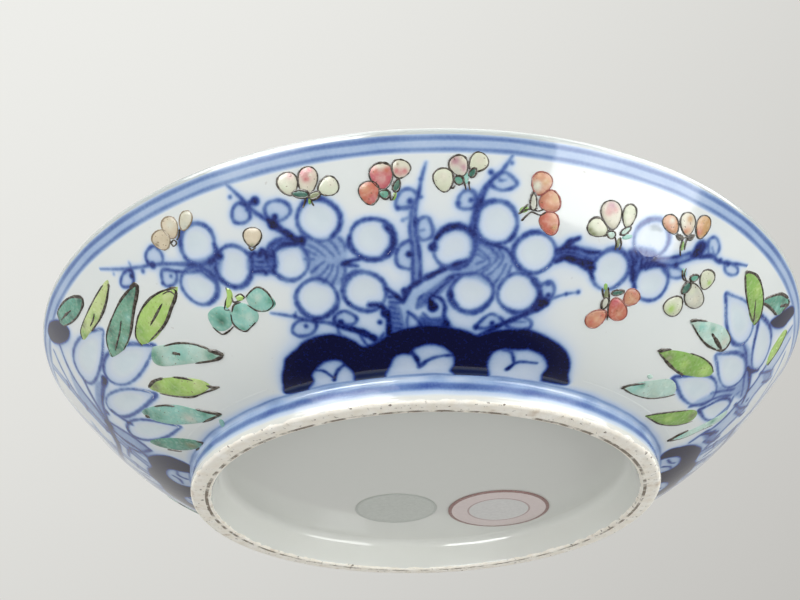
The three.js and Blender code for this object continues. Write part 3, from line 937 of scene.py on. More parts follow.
def paint_rings(sheet, windows, width, dark):
    """Hand-drawn cobalt ring round every window."""
    for azimuth, climb, outline in windows:
        outline = outline[::2]
        turn = np.arange(len(outline)) * 2 * np.pi / len(outline)
        phase = rng.random(4) * 6.3
        uneven = 1 + 0.034 * np.sin(2 * turn + phase[0]) + 0.018 * np.sin(4 * turn + phase[1])
        turns = azimuth + np.degrees(outline[:, 0] * uneven / radius_at(climb))
        path = np.stack([turns, climb + outline[:, 1] * uneven], axis=1)
        widths = width * (1 + 0.28 * np.sin(turn + phase[2]) + 0.16 * np.sin(3 * turn + phase[3]))
        sheet.stroke(path, widths, dark * (0.92 + 0.16 * rng.random()), soft=0.22, closed=True)


def paint_bud(sheet, outline, dark):
    """Pale bud with an uneven outline."""
    path = spots(outline)
    sheet.fill(path, 0.07, soft=0.4)
    sheet.stroke(path, (0.66, 0.42, 0.55, 0.4, 0.6), dark + 0.04, closed=True)


def paint_rock(sheet, outline, caves, strokes):
    """Dark rock with pale hollows."""
    sheet.fill(outline, 1.0, soft=0.22)
    for cave in caves:
        sheet.fill(cave, 0.04, soft=0.28, erase=True)
    for width, dark, path in strokes:
        sheet.stroke(path, width, dark, soft=0.2)


def paint_tree():
    sheet = Sheet(*TREE_SPAN, 0.0, SHEET_TOP)
    for dark, outline in WOOD:
        sheet.fill(spots(outline), dark, soft=0.3)
    for dark, outline in BUDS:
        paint_bud(sheet, outline, dark)
    paint_rings(sheet, tree_windows(0, RING_AWAY), 0.64, 0.66)
    for width, dark, points in TREE_STROKES + RING_STROKES:
        sheet.stroke(spots(points), width, dark)
    for points in STRIPES:
        sheet.stroke(spots(points), (0.36, 0.4, 0.5), 0.58)
    for points in BARK:
        sheet.stroke(spots(points), (0.5, 0.35), 0.7)
    for points in BUD_TICKS:
        sheet.stroke(spots(points), (0.35, 0.25), 0.55)
    for x, y, size, dark in TREE_DOTS:
        sheet.dot(spot(x, y), size, min(dark, DARKEST_STROKE))
    caves = [spots(cave) for cave in CAVES]
    strokes = [(width, dark, spots(points)) for width, dark, points in CAVE_STROKES]
    paint_rock(sheet, spots(ROCK), caves, strokes)
    sheet.settle(TREE_SEED)
    return sheet


# Bamboo in cobalt. A stand has the strokes of the photograph's right end, with its root at azimuth 90,
# and those of its left end, with its root at -90.

# strokes: widths along it, darkness, points
RIGHT_STROKES = [
    ((0.5, 0.7, 0.6), 0.62, [(743, 344), (746, 354), (746, 366), (744, 378), (741, 396)]),
    ((0.9, 0.9), 0.88, [(747, 368), (752, 371), (758, 370)]),
    ((1.0, 0.7, 0.7), 0.8, [(749, 370), (749, 384), (746, 394), (742, 403)]),
    ((0.6, 0.7), 0.62, [(711, 393), (722, 391), (734, 389)]),
    ((0.7, 0.7), 0.66, [(690, 406), (704, 403), (718, 397), (731, 395)]),
    ((0.5, 0.75, 0.7), 0.66, [(792, 326), (784, 338), (776, 350), (768, 362), (761, 373), (755, 382),
        (748, 391), (742, 399), (736, 405), (729, 413), (721, 421), (711, 429), (703, 433), (690, 442)]),
    ((0.5, 0.7, 0.7), 0.64, [(790, 338), (779, 358), (772, 369), (769, 377), (760, 387), (752, 397),
        (746, 406), (739, 414), (728, 425), (716, 437), (706, 447)]),
    ((0.7, 0.7), 0.7, [(735, 404), (740, 408), (747, 406)]),
    ((0.7, 0.7), 0.7, [(735, 412), (740, 415), (744, 412)]),
    ((0.7, 0.7), 0.7, [(760, 373), (766, 372), (772, 370)]),
    ((0.7, 0.7), 0.66, [(762, 382), (767, 381), (771, 377)]),
    ((0.9, 0.9), 0.74, [(702, 434), (709, 433), (717, 432)]),
    ((0.9, 0.9), 0.7, [(704, 441), (711, 442), (718, 437)]),
    ((0.5, 0.6), 0.52, [(785, 352), (776, 372), (764, 392), (752, 409), (738, 425), (722, 441),
        (704, 456)]),
    ((0.6, 0.6), 0.56, [(733, 397), (730, 403), (722, 412), (708, 423), (692, 432)]),
]
LEFT_STROKES = [
    ((0.7, 0.8), 0.74, [(83, 377), (90, 392), (98, 406), (107, 420)]),
    ((1.5, 0.7, 0.8), 0.8, [(105, 379), (103, 391), (103, 404), (108, 420)]),
    ((0.8, 0.7), 0.74, [(112, 410), (122, 418), (132, 424)]),
    ((0.6, 0.8), 0.7, [(60, 345), (70, 370), (83, 391), (97, 409), (108, 424)]),
    ((0.5, 0.7), 0.66, [(54, 350), (66, 376), (80, 398), (96, 416), (108, 430)]),
    ((1.2, 1.5, 1.3), 0.84, [(107, 422), (112, 432), (119, 446), (124, 460)]),
    ((0.9, 0.8), 0.78, [(111, 428), (125, 440), (140, 450), (151, 460)]),
    ((0.7, 0.7), 0.72, [(110, 422), (129, 434), (143, 444), (151, 450)]),
    ((0.7, 0.7), 0.7, [(151, 450), (140, 452), (130, 448), (129, 456)]),
]
# pale washes: darkness, outline
RIGHT_WASHES = [
    (0.24, [(738, 346), (746, 344), (750, 352), (750, 368), (749, 382), (744, 396), (738, 398),
        (732, 396), (722, 394), (714, 384), (728, 388), (738, 384), (743, 372), (743, 358)]),
    (0.16, [(690, 405), (704, 402), (718, 396), (734, 396), (733, 389), (722, 391), (712, 393),
        (700, 398)]),
    (0.1, [(703, 436), (722, 420), (737, 405), (748, 390), (762, 372), (775, 350), (788, 330), (794, 328),
        (786, 346), (772, 369), (760, 387), (746, 407), (728, 425), (714, 440)]),
    (0.34, [(703, 433), (711, 430), (717, 434), (713, 441), (705, 440)]),
    (0.28, [(735, 408), (741, 403), (746, 406), (742, 413), (736, 413)]),
    (0.28, [(762, 374), (768, 369), (773, 370), (770, 378), (764, 382)]),
    (0.24, [(724, 437), (732, 431), (737, 434), (731, 441)]),
]
LEFT_WASHES = [
    (0.26, [(96, 384), (104, 384), (103, 400), (108, 420), (98, 406)]),
    (0.2, [(70, 372), (84, 392), (98, 408), (110, 424), (100, 420), (82, 400)]),
    (0.2, [(110, 422), (129, 434), (146, 445), (148, 458), (126, 444)]),
]
# navy blots, then dots: point, radius, darkness
RIGHT_BLOT = [
    (770, 322), (778, 315), (787, 308), (793, 306), (794, 313), (789, 320), (783, 327), (775, 328),
]
LEFT_BLOT = [(50, 322), (58, 320), (66, 325), (70, 332), (68, 340), (60, 344), (52, 341), (48, 331)]
RIGHT_DOTS = [
    (738, 393, 0.6, 0.4), (712, 433, 0.9, 0.8), (747, 400, 0.5, 0.7), (752, 371, 0.5, 0.85),
    (743, 390, 0.4, 0.5),
]
LEFT_DOTS = [(104, 379, 0.7, 0.9), (109, 424, 1.3, 0.92), (112, 432, 1.1, 0.88), (107, 412, 0.7, 0.8)]
# canes and rock, hidden in the photograph: azimuth from the root, climb
CANES = [
    [(-6, 10), (-4.5, 17), (-4.5, 24), (-6, 31), (-7, 36)],
    [(0.5, 10), (2.5, 17), (3, 24), (2, 30), (2, 36)],
    [(7, 9.6), (9.5, 15), (11, 22), (12.5, 29), (13, 36)],
]
CANE_HALF_WIDTH, NODE_HALF_WIDTH = 1.0, 1.35
NODE_CLIMBS = (13.5, 19.5, 25, 30.5)
STAND_ROCK = [
    (-15.4, 0.6), (-17.6, 2.4), (-16.4, 4.6), (-14.7, 6.6), (-11.6, 8.4), (-8, 9.6), (-3, 9.2), (0, 10.4),
    (4, 10.2), (7, 8.8), (11, 9.2), (15, 7.2), (17.6, 4.4), (17, 1.4), (14, 0.2), (0, 0.2), (-10, 0.2),
]
STAND_CAVES = [
    [(-12.6, 0.4), (-12.8, 2.8), (-10.4, 4.6), (-6.6, 4.4), (-5, 2.4), (-5.4, 0.4)],
    [(3.4, 0.4), (3, 3.4), (6, 5.4), (10.4, 4.6), (11.4, 2), (11, 0.4)],
]
STAND_CAVE_STROKES = [
    ((0.4, 0.6, 0.4), 0.76, [(-12, 2), (-9.6, 2.6), (-8.4, 3.6)]),
    ((0.6, 0.4), 0.74, [(-8.4, 1.2), (-7.4, 2.6), (-5.6, 3.2)]),
    ((0.4, 0.6, 0.4), 0.76, [(3.8, 2.4), (6.2, 2.8), (7.4, 4)]),
    ((0.6, 0.4), 0.74, [(7.4, 1.2), (8.6, 2.8), (10.8, 3)]),
]


def side_spots(points, root):
    """Photo points of one end of the dish, as azimuth from the root of its stand and climb."""
    return spots(points) - [root, 0]


def paint_canes(sheet):
    """Pale canes between two lines, with a dark bar at each node."""
    for cane in CANES:
        path = smoothed(np.array(cane, float))
        left, right = path.copy(), path.copy()
        turn = np.degrees(CANE_HALF_WIDTH / radius_at(path[:, 1]))
        left[:, 0] -= turn
        right[:, 0] += turn
        sheet.fill(np.vstack([left[::4], right[::-4]]), 0.24, soft=0.35)
        sheet.stroke(left[::4], (0.5, 0.4), 0.64)
        sheet.stroke(right[::4], (0.4, 0.4), 0.58)
        for climb in NODE_CLIMBS:
            azimuth = np.interp(climb, path[:, 1], path[:, 0])
            reach = math.degrees(NODE_HALF_WIDTH / radius_at(climb))
            bar = np.array([(-reach, 0.2), (0, -0.15), (reach, 0.25)]) + [azimuth, climb]
            sheet.stroke(bar, (0.6, 0.4, 0.6), 0.76)


def paint_stand():
    sheet = Sheet(*STAND_SPAN, 0.0, SHEET_TOP)
    paint_canes(sheet)
    paint_rings(sheet, stand_windows(0, RING_AWAY, RING_POINT), 0.56, 0.68)
    for washes, root in ((RIGHT_WASHES, 90), (LEFT_WASHES, -90)):
        for dark, outline in washes:
            sheet.fill(side_spots(outline, root), dark, soft=0.35)
    for strokes, root in ((RIGHT_STROKES, 90), (LEFT_STROKES, -90)):
        for width, dark, points in strokes:
            sheet.stroke(side_spots(points, root), width, dark)
    for dots, root in ((RIGHT_DOTS, 90), (LEFT_DOTS, -90)):
        for x, y, size, dark in dots:
            sheet.dot(side_spots([(x, y)], root)[0], size, dark)
    sheet.fill(side_spots(RIGHT_BLOT, 90), 1.0)
    sheet.fill(side_spots(LEFT_BLOT, -90), 1.0)
    caves = [np.array(cave, float) for cave in STAND_CAVES]
    strokes = [(width, dark, np.array(points, float)) for width, dark, points in STAND_CAVE_STROKES]
    paint_rock(sheet, np.array(STAND_ROCK, float), caves, strokes)
    sheet.settle(STAND_SEED)
    return sheet


# Bands round the rim and the foot

def ripple(azimuth, seed):
    """Uneven run of a brush round the dish, about -1 to 1, the same in every quarter."""
    phases = np.random.default_rng(seed).random(6) * 2 * np.pi
    turns = np.array([1, 2, 3, 5, 8, 13]) * 4
    waves = [np.sin(np.radians(azimuth) * turn + phase) for turn, phase in zip(turns, phases)]
    return sum(waves) / 3


# lines and wash under the lip: climb of the middle, half width, softness, darkness
RIM_LINES = [(37.5, 0.46, 0.44, 0.55), (35.95, 0.4, 0.42, 0.53), (36.75, 0.7, 0.3, 0.26)]


def rim_ink(azimuth, climb):
    up = climb + 0.05 * ripple(azimuth, 5)
    ink = 0 * up
    for index, (centre, half, soft, dark) in enumerate(RIM_LINES):
        thick = half * (1 + 0.1 * ripple(azimuth, 6 + index))
        ink = np.maximum(ink, dark * edge_fade(np.abs(up - centre), thick, soft))
    return ink * (1 + 0.12 * ripple(azimuth, 9))


def rim_band():
    """Glaze skin under the lip, with its cobalt lines."""
    rows, skin = 22, 0.03
    azimuth = np.arange(BAND_COLUMNS) * 360 / BAND_COLUMNS
    azimuth, climb = np.meshgrid(azimuth, np.linspace(RIM_LOW, WALL_CLIMB[-1], rows))
    lift = np.full(climb.shape, skin)
    lift[[0, -1]] = BURIED
    faces = grid_faces(rows, BAND_COLUMNS, wrap=True).tolist()
    points = on_wall(azimuth, climb, lift).reshape(-1, 3)
    piece = add_mesh("rim_band", points, faces, [("ink", "FLOAT", rim_ink(azimuth, climb))])
    return shade_as(piece, wall_normals(azimuth, climb))


# The same round the foot; a climb below 0 is a distance down the foot's outer side
FOOT_LINES = [
    (0.56, 0.34, 0.35, 0.42), (0.8, 0.5, 1.7, 0.2), (-1.95, 0.74, 0.62, 0.59), (-2.1, 0.75, 1.3, 0.4),
]
FOOT_WASH = (-0.64, 1.4, 0.4, 0.26)
# glaze up the foot's side, thickest under the wall: distance from the bevel, thickness
FOOT_GLAZE = [(0, 0.04), (2.8, 0.42), (3.5, 0.3), (4.3, 0.03)]


def foot_ink(azimuth, climb):
    up = climb + 0.09 * ripple(azimuth, 14)
    centre, half, soft, dark = FOOT_WASH
    ink = dark * (1 + 0.35 * ripple(azimuth, 13)) * edge_fade(np.abs(up - centre), half, soft)
    for centre, half, soft, dark in FOOT_LINES:
        ink = np.maximum(ink, dark * edge_fade(np.abs(up - centre), half, soft))
    return ink * (1 + 0.12 * ripple(azimuth, 12))


def foot_band():
    """Glaze on the foot's outer side and the foot of the wall, with its cobalt."""
    start, step = 0.1, 0.12
    foot = foot_side()
    shares = np.linspace(0.03, 0.11, 8)
    section = np.array(foot + [wall_rz(share) for share in shares])
    length = np.concatenate([[0], np.cumsum(np.hypot(*np.diff(section, axis=0).T))])
    wall_start = length[len(foot)] - np.interp(shares[0], SHARE, WALL_CLIMB)
    along = np.arange(start, length[-1], step)
    r = np.interp(along, length, section[:, 0])
    z = np.interp(along, length, section[:, 1])
    dr, dz = np.gradient(r), np.gradient(z)
    size = np.hypot(dr, dz)
    lift = np.interp(along, *np.transpose(FOOT_GLAZE))
    lift[[0, -1]] = BURIED
    r, z = r + lift * dz / size, z - lift * dr / size
    azimuth = np.arange(BAND_COLUMNS) * 360 / BAND_COLUMNS
    points = turned(azimuth[None, :], r[:, None], z[:, None]).reshape(-1, 3)
    ink = foot_ink(azimuth[None, :], along[:, None] - wall_start)
    faces = grid_faces(len(along), BAND_COLUMNS, wrap=True).tolist()
    return add_mesh("foot_band", points, faces, [("ink", "FLOAT", ink)])


# Coloured enamel, raised on the glaze

# colours as red, green and blue, 0 to 255
CREAM = (219, 217, 199)
WARM = (216, 203, 178)
PALE = (214, 220, 196)
GREY = (200, 203, 190)
PINK = (208, 158, 154)
ROSE = (196, 98, 108)
RED = (198, 112, 94)
APRICOT = (212, 164, 130)
ORANGE = (203, 141, 112)
OCHRE = (198, 158, 108)
MAUVE = (186, 138, 152)
TEAL = (96, 160, 140)
DEEP = (58, 108, 94)
AQUA = (146, 202, 190)
MINT = (188, 218, 208)
LIME = (172, 208, 112)
LEAF = (134, 178, 88)
SPROUT = (196, 214, 146)
JADE = (112, 166, 142)
OLIVE = (128, 138, 98)
BROWN = (50, 41, 32)
TAN = (146, 130, 106)
RUST = (146, 74, 64)
# scale of the photograph on the near wall, for the reach of a wash
PIXELS_PER_MM = 6.4
# height of a dab's dome, the lift of one layer of enamel, and the lift of its edge
DOME, LAYER_LIFT, ENAMEL_EDGE = 0.12, 0.045, 0.02
# height of a line over its lift, and the lift of short lines, which lie over the longer ones
LINE_RISE, SHORT_LINE_LIFT = 0.05, 0.165
# climbs that enamel stays between
ENAMEL_LOW, ENAMEL_HIGH = 0.1, 38
# points round a petal, and widths of petal outlines
PETAL_SIDES = 16
PETAL_LINE, THIN_LINE = 0.27, 0.24


class Enamel:
    """Raised dabs of enamel and the brown lines over them, placed by photo points."""

    def __init__(self, centre):
        self.shift = centre
        self.points, self.faces, self.tint = [], [], []
        self.count = 0

    def places(self, points):
        return spots(points) + [self.shift, 0]

    def keep(self, azimuth, climb, rise, tint, wrap):
        """Adds a grid of points to the piece."""
        rows, columns = azimuth.shape
        climb = np.clip(climb, ENAMEL_LOW, ENAMEL_HIGH)
        self.points.append(on_wall(azimuth, climb, rise).reshape(-1, 3))
        self.tint.append(np.broadcast_to(tint, (rows, columns, 4)).reshape(-1, 4))
        self.faces += (grid_faces(rows, columns, wrap)[:, ::-1] + self.count).tolist()
        self.count += rows * columns

    def dab(self, outline, colour, washes=(), height=DOME, lift=LAYER_LIFT):
        """Low dome over an outline; washes are (colour, x, y, reach) in the photo."""
        path = smoothed(self.places(outline), closed=True, per_span=4)
        middle = path.mean(0)
        scale = np.array([math.radians(1) * radius_at(middle[1]), 1])
        flat = (path - middle) * scale
        axis = np.linalg.svd(flat, full_matrices=False)[2][0]
        along, aside = flat @ axis, flat @ [axis[1], -axis[0]]
        reach = max(np.ptp(along) - np.ptp(aside), 0) * 0.42
        spine = np.clip(along, -reach, reach)[:, None] * axis
        shares = np.array([0, 0.2, 0.4, 0.55, 0.7, 0.8, 0.88, 0.94, 0.98, 1, 1])[:, None, None]
        local = spine + (flat - spine) * shares
        rise = lift + height * (1 - shares[..., 0] ** 4) + 0 * local[..., 0]
        rise[-1] = ENAMEL_EDGE
        tint = np.array(linear(*colour)) * (1 - 0.12 * shares**6) + 0 * local[..., :1]
        for wash, x, y, spread in washes:
            away = (local - (self.places([(x, y)])[0] - middle) * scale) / (spread / PIXELS_PER_MM)
            share = np.exp(-(away**2).sum(-1, keepdims=True))
            tint = tint * (1 - share) + np.array(linear(*wash)) * share
        place = middle + local / scale
        self.keep(place[..., 0], place[..., 1], rise, tint, True)

    def ribbon(self, points, width, colour=BROWN, closed=False, lift=2 * LAYER_LIFT, gaps=0.25):
        """Raised brush line; it thins where the brush ran dry."""
        path = smoothed(self.places(points), closed, per_span=6)
        if closed:
            path = np.vstack([path, path[:1]])
        scale = np.stack([np.radians(1) * radius_at(path[:, 1]), np.ones(len(path))], axis=1)
        along = np.gradient(path, axis=0) * scale
        across = np.stack([along[:, 1], -along[:, 0]], axis=1) / np.hypot(*along.T)[:, None]
        row = np.atleast_1d(width)
        row = np.interp(np.linspace(0, 1, len(path)), np.linspace(0, 1, len(row)), row)
        steps = np.arange(len(path))
        dry = np.sin(steps * 0.37 + rng.random() * 6) * np.sin(steps * 0.23 + rng.random() * 6)
        half = row / 2 * (1 - gaps * np.clip(dry * 2, 0, 1)) * (0.9 + 0.2 * rng.random(len(path)))
        if not closed:
            half[[0, -1]] *= 0.3
        side = np.array([-1, -0.9, -0.5, 0, 0.5, 0.9, 1])[:, None]
        place = path + across * half[:, None] * side[..., None] / scale
        rise = lift + LINE_RISE * (1 - side**2) + 0 * place[..., 0]
        rise[[0, -1]] = ENAMEL_EDGE
        self.keep(place[..., 0], place[..., 1], rise, np.array(linear(*colour)), False)

    def petal(self, x, y, across, along, turn, colour, washes=(), taper=0.24, lift=LAYER_LIFT,
              height=DOME, line=BROWN, width=PETAL_LINE):
        """Rounded petal or leaf with its outline; it narrows away from the tip."""
        angle = np.arange(PETAL_SIDES) * 2 * np.pi / PETAL_SIDES
        side = across * np.sin(angle) * (1 + taper * np.cos(angle))
        ahead = along * np.cos(angle)
        tilt = math.radians(turn)
        outline = np.stack([
            x + side * math.cos(tilt) + ahead * math.sin(tilt),
            y + side * math.sin(tilt) - ahead * math.cos(tilt),
        ], axis=1)
        washes = [(wash, x + dx, y + dy, reach) for wash, dx, dy, reach in washes]
        self.dab(outline, colour, washes, height, lift)
        if line:
            path = np.roll(outline, rng.integers(PETAL_SIDES), axis=0)
            widths = width * np.array([1, 1.4, 0.9, 0.7, 1.2])
            self.ribbon(path, widths, line, closed=True, lift=lift + LAYER_LIFT, gaps=0.35)

    def piece(self, name):
        tint = ("tint", "FLOAT_COLOR", np.vstack(self.tint))
        return add_mesh(name, np.vstack(self.points), self.faces, [tint])


# petals and small leaves: photo point, half width, half length, turn of the tip, colour,
# washes (colour, offset across, offset down, reach)
PETALS = [
    (162, 240, 8.7, 10.3, -28, WARM, [(TAN, -5, 5, 3)]),
    (170.5, 227.5, 7.6, 11.2, -20, WARM, [(CREAM, 0, -3, 5)]),
    (185.5, 220.5, 6, 10, 14, CREAM, [(GREY, 0, 6, 4)]),
    (252.5, 237, 9, 9.6, 0, WARM, [(OLIVE, 0, 9, 2.5)]),
    (288, 184, 10, 11.8, -22, CREAM, [(PALE, -3, 4, 6), (PINK, 2, -9, 3.5)]),
    (328, 186.5, 9.5, 10.6, 62, PALE, [(CREAM, 4, -5, 5)]),
    (307.5, 181, 9.6, 14.5, 5, CREAM, [(PINK, -1, -6, 7), (ROSE, -5, -8, 3), (ROSE, 2, -11, 2.5),
        (ROSE, -1, -2, 2.5), (CREAM, 3, -6, 2)]),
    (369.5, 193, 10.3, 12, -10, RED, [(ORANGE, -3, -3, 5), (APRICOT, -5, -6, 2.5), (ROSE, 4, 6, 4)]),
    (400.5, 169, 9.3, 9.3, 20, CREAM, [(ROSE, -4, 2, 3), (ROSE, 4, 2.5, 3), (PINK, 0, 4, 3),
        (TAN, -3, -5, 1.3)]),
    (381.5, 176, 11.5, 13.3, -12, ROSE, [(CREAM, -3, -11, 5), (CREAM, 3, -10, 4), (RED, -7, -5, 3),
        (RED, 5, -6, 3), (PINK, 0, 3, 4)]),
    (443.5, 180, 9.9, 12, -8, PALE, [(CREAM, 0, -4, 5)]),
    (478, 162.5, 9, 10.5, 42, PALE, [(CREAM, 2, -3, 5)]),
    (459, 165.8, 9.2, 10.8, -22, CREAM, [(MAUVE, -4, -5, 5), (MAUVE, 4, 2, 4), (GREY, -2, 5, 4)]),
    (549.5, 223.3, 9.6, 11.8, -14, RED, [(ORANGE, 3, -3, 5), (APRICOT, 4, -7, 3), (OCHRE, 5, 4, 3)]),
    (549.5, 201.5, 10.8, 10.6, 70, ORANGE, [(OCHRE, 6, -3, 5), (RED, -7, 4, 4), (APRICOT, 0, 0, 3)]),
    (541.5, 183.5, 9.9, 11.8, 18, ORANGE, [(GREY, -5, 3, 5), (CREAM, -4, 1, 3), (OCHRE, 5, -2, 4),
        (APRICOT, -2, -8, 3)]),
    (597.8, 227.8, 9.2, 10.5, -60, PALE, [(OLIVE, -5, 7, 4), (OLIVE, -8, 2, 3), (CREAM, 3, -4, 4)]),
    (629, 216, 6.4, 12, 12, PALE, [(CREAM, 1, 4, 4)]),
    (611.5, 214.8, 10, 14.4, -6, CREAM, [(MAUVE, 0, -9, 5), (PINK, -3, -3, 4), (PINK, 4, -5, 3)]),
    (671, 224.3, 7.4, 10.2, -25, APRICOT, [(ORANGE, -3, 3, 4), (CREAM, 1, -4, 3)]),
    (702.5, 227, 6.8, 12, 18, OCHRE, [(RED, -4, 5, 4), (APRICOT, -2, -2, 3)]),
    (687.5, 224, 7.3, 11.6, 2, CREAM, [(OCHRE, 2, -5, 4), (APRICOT, 0, 6, 5), (ORANGE, -3, 8, 3)]),
    (596, 318, 7.5, 11.8, -125, ORANGE, [(RED, -5, 4, 4), (RED, 5, -3, 3), (APRICOT, 0, 0, 3)]),
    (631, 297.5, 7.4, 9.2, 40, ORANGE, [(RED, 3, -4, 3), (APRICOT, -1, 1, 4)]),
    (617, 309, 9.2, 11.5, 172, RED, [(ROSE, -2, -7, 5), (ORANGE, 2, 4, 5)]),
    (706.5, 279.5, 6.9, 10.2, 20, PALE, [(LIME, 2, 3, 3)]),
    (673.5, 305.5, 8.4, 11, -140, PALE, [(LIME, -3, 3, 5)]),
    (693.5, 295.5, 9.3, 12.6, 172, GREY, [(CREAM, 1, 4, 5), (PALE, -2, -4, 4)]),
]
# aqua petals: outline, colour, washes (colour, point, reach); then the lines over them
AQUA_PETALS = [
    ([(246, 297), (252, 290), (259, 287), (266, 291), (273, 298), (276, 304), (272, 309), (265, 312),
        (257, 311), (250, 306)],
        AQUA, [(TEAL, 270, 300, 5), (DEEP, 275, 303, 2.5), (MINT, 258, 297, 4)]),
    ([(236, 304), (244, 303), (252, 307), (258, 313), (258, 320), (252, 327), (246, 331), (240, 329),
        (234, 323), (231, 314)],
        AQUA, [(TEAL, 236, 309, 4), (MINT, 250, 318, 5), (TEAL, 243, 328, 3)]),
    ([(212, 309), (220, 306), (228, 308), (232, 315), (232, 324), (228, 329), (221, 331), (214, 328),
        (209, 320), (208, 314)],
        AQUA, [(TEAL, 221, 318, 9), (DEEP, 222, 321, 4)]),
    ([(226, 288), (231, 290), (233, 297), (231, 305), (227, 308), (226, 302), (227, 295)], LIME, []),
    ([(236, 297), (240, 295), (244, 297), (243, 300), (238, 301)], LIME, []),
]
AQUA_LINES = [
    [(246, 297), (251, 291), (258, 287), (266, 291), (272, 299), (273, 305), (268, 310), (262, 311)],
    [(248, 305), (256, 310), (262, 311)],
    [(231, 314), (233, 323), (239, 329), (246, 331), (251, 327), (256, 322)],
    [(213, 327), (222, 334), (229, 331), (234, 326)],
    [(226, 287), (228, 295), (226, 302), (225, 309), (230, 310)],
    [(230, 290), (232, 298), (235, 302), (246, 297)],
    [(235, 297), (240, 294), (245, 297)],
    [(232, 312), (234, 305), (241, 302)],
]
# sepals: as petals, with a narrow base
SEPALS = [
    (300.5, 194, 3.8, 8.5, -86, DEEP), (315, 195, 3.4, 6, 66, OLIVE), (384.3, 194, 4.4, 5.2, -70, TEAL),
    (396.7, 185.3, 3.4, 6.4, 18, DEEP), (458.5, 180, 4.2, 4.8, -60, TEAL),
    (472.7, 172.5, 3.2, 5, 35, DEEP), (533.3, 201.5, 3.1, 8.6, 2, GREY),
    (610.7, 234.3, 3.8, 4.2, -60, MINT), (625.5, 230.5, 2.5, 6, 52, MINT),
    (617.5, 292.4, 2.4, 6, 80, DEEP), (604.5, 303, 3, 5.8, -158, GREY), (694, 277.8, 3, 4.4, 62, TEAL),
    (685.5, 288, 3.2, 6.6, -148, DEEP), (679, 237, 2.2, 3, -50, BROWN), (690.5, 237, 2, 3.4, 60, BROWN),
]
# dabs without an outline: colour, then as petals
PLAIN_DABS = [
    (LEAF, 394.5, 196, 2, 4.5, 15), (LEAF, 524, 209.5, 3, 5, -110), (LEAF, 605.5, 286.5, 2, 3.4, 10),
    (AQUA, 466, 178, 2.8, 6, 0), (AQUA, 627, 237, 2.4, 5.4, 78), (LEAF, 310, 200.5, 1.8, 4, 4),
    (OLIVE, 618, 243, 1.6, 5, 8), (AQUA, 684, 272, 1.8, 4, -10), (OLIVE, 606.5, 294, 2.4, 5, 6),
    (BROWN, 606, 235, 1.4, 4, 70), (LEAF, 682.5, 246, 1.3, 5, 12),
]
# stalks and stamens
STALKS = [
    [(306, 196), (305, 202), (303, 208)], [(311, 196), (312, 202), (314, 206)],
    [(390, 191), (391, 200), (395, 194)], [(464, 181), (465, 185), (466, 190)],
    [(469, 181), (469, 185), (470, 190)], [(450, 187), (453, 188), (455, 185)],
    [(518, 214), (525, 210), (530, 209), (538, 208)],
    [(521, 221), (527, 215), (532, 212), (540, 215), (546, 212)], [(532, 208), (538, 211), (544, 209)],
    [(528, 204), (520, 212)], [(615, 237), (616, 244), (615, 250)], [(620, 237), (621, 244), (619, 250)],
    [(619, 235), (625, 233), (631, 226)], [(683, 237), (680, 247), (680, 256)],
    [(687, 238), (685, 244), (684, 250)], [(675, 235), (682, 238), (694, 234)],
    [(602, 288), (603, 295), (604, 299)], [(608, 287), (609, 298), (608, 308), (607, 320)],
    [(686, 268), (684, 274), (686, 281)], [(682, 270), (683, 279), (690, 282)],
    [(180, 229), (179, 236), (177, 240)], [(171, 243), (174, 240), (177, 243), (174, 246), (171, 243)],
    [(249, 247), (252, 250), (256, 247)],
]
# Petals left of this have pale outlines; these ones have rust outlines
PALE_LINES_TO = 200
RUST_LINED = [(596, 318), (631, 297.5), (617, 309), (549.5, 223.3), (549.5, 201.5), (541.5, 183.5)]


def blossoms(name, centre):
    """Petals, sepals and stalks on one tree."""
    enamel = Enamel(centre)
    for x, y, across, along, turn, colour, washes in PETALS:
        thin = {"line": TAN, "width": THIN_LINE} if x < PALE_LINES_TO else {}
        if (x, y) in RUST_LINED:
            thin = {"line": RUST, "width": THIN_LINE}
        enamel.petal(x, y, across, along, turn, colour, washes, **thin)
    for outline, colour, washes in AQUA_PETALS:
        enamel.dab(outline, colour, washes)
    for points in AQUA_LINES:
        enamel.ribbon(points, (0.24, 0.36, 0.22))
    for x, y, across, along, turn, colour in SEPALS:
        enamel.petal(x, y, across, along, turn, colour, taper=-0.2, height=0.08, lift=0.12, width=0.34)
    for colour, x, y, across, along, turn in PLAIN_DABS:
        enamel.petal(x, y, across, along, turn, colour, taper=0, height=0.06, line=None)
    for points in STALKS:
        enamel.ribbon(points, (0.34, 0.28, 0.24), lift=0.12)
    return enamel.piece(name)


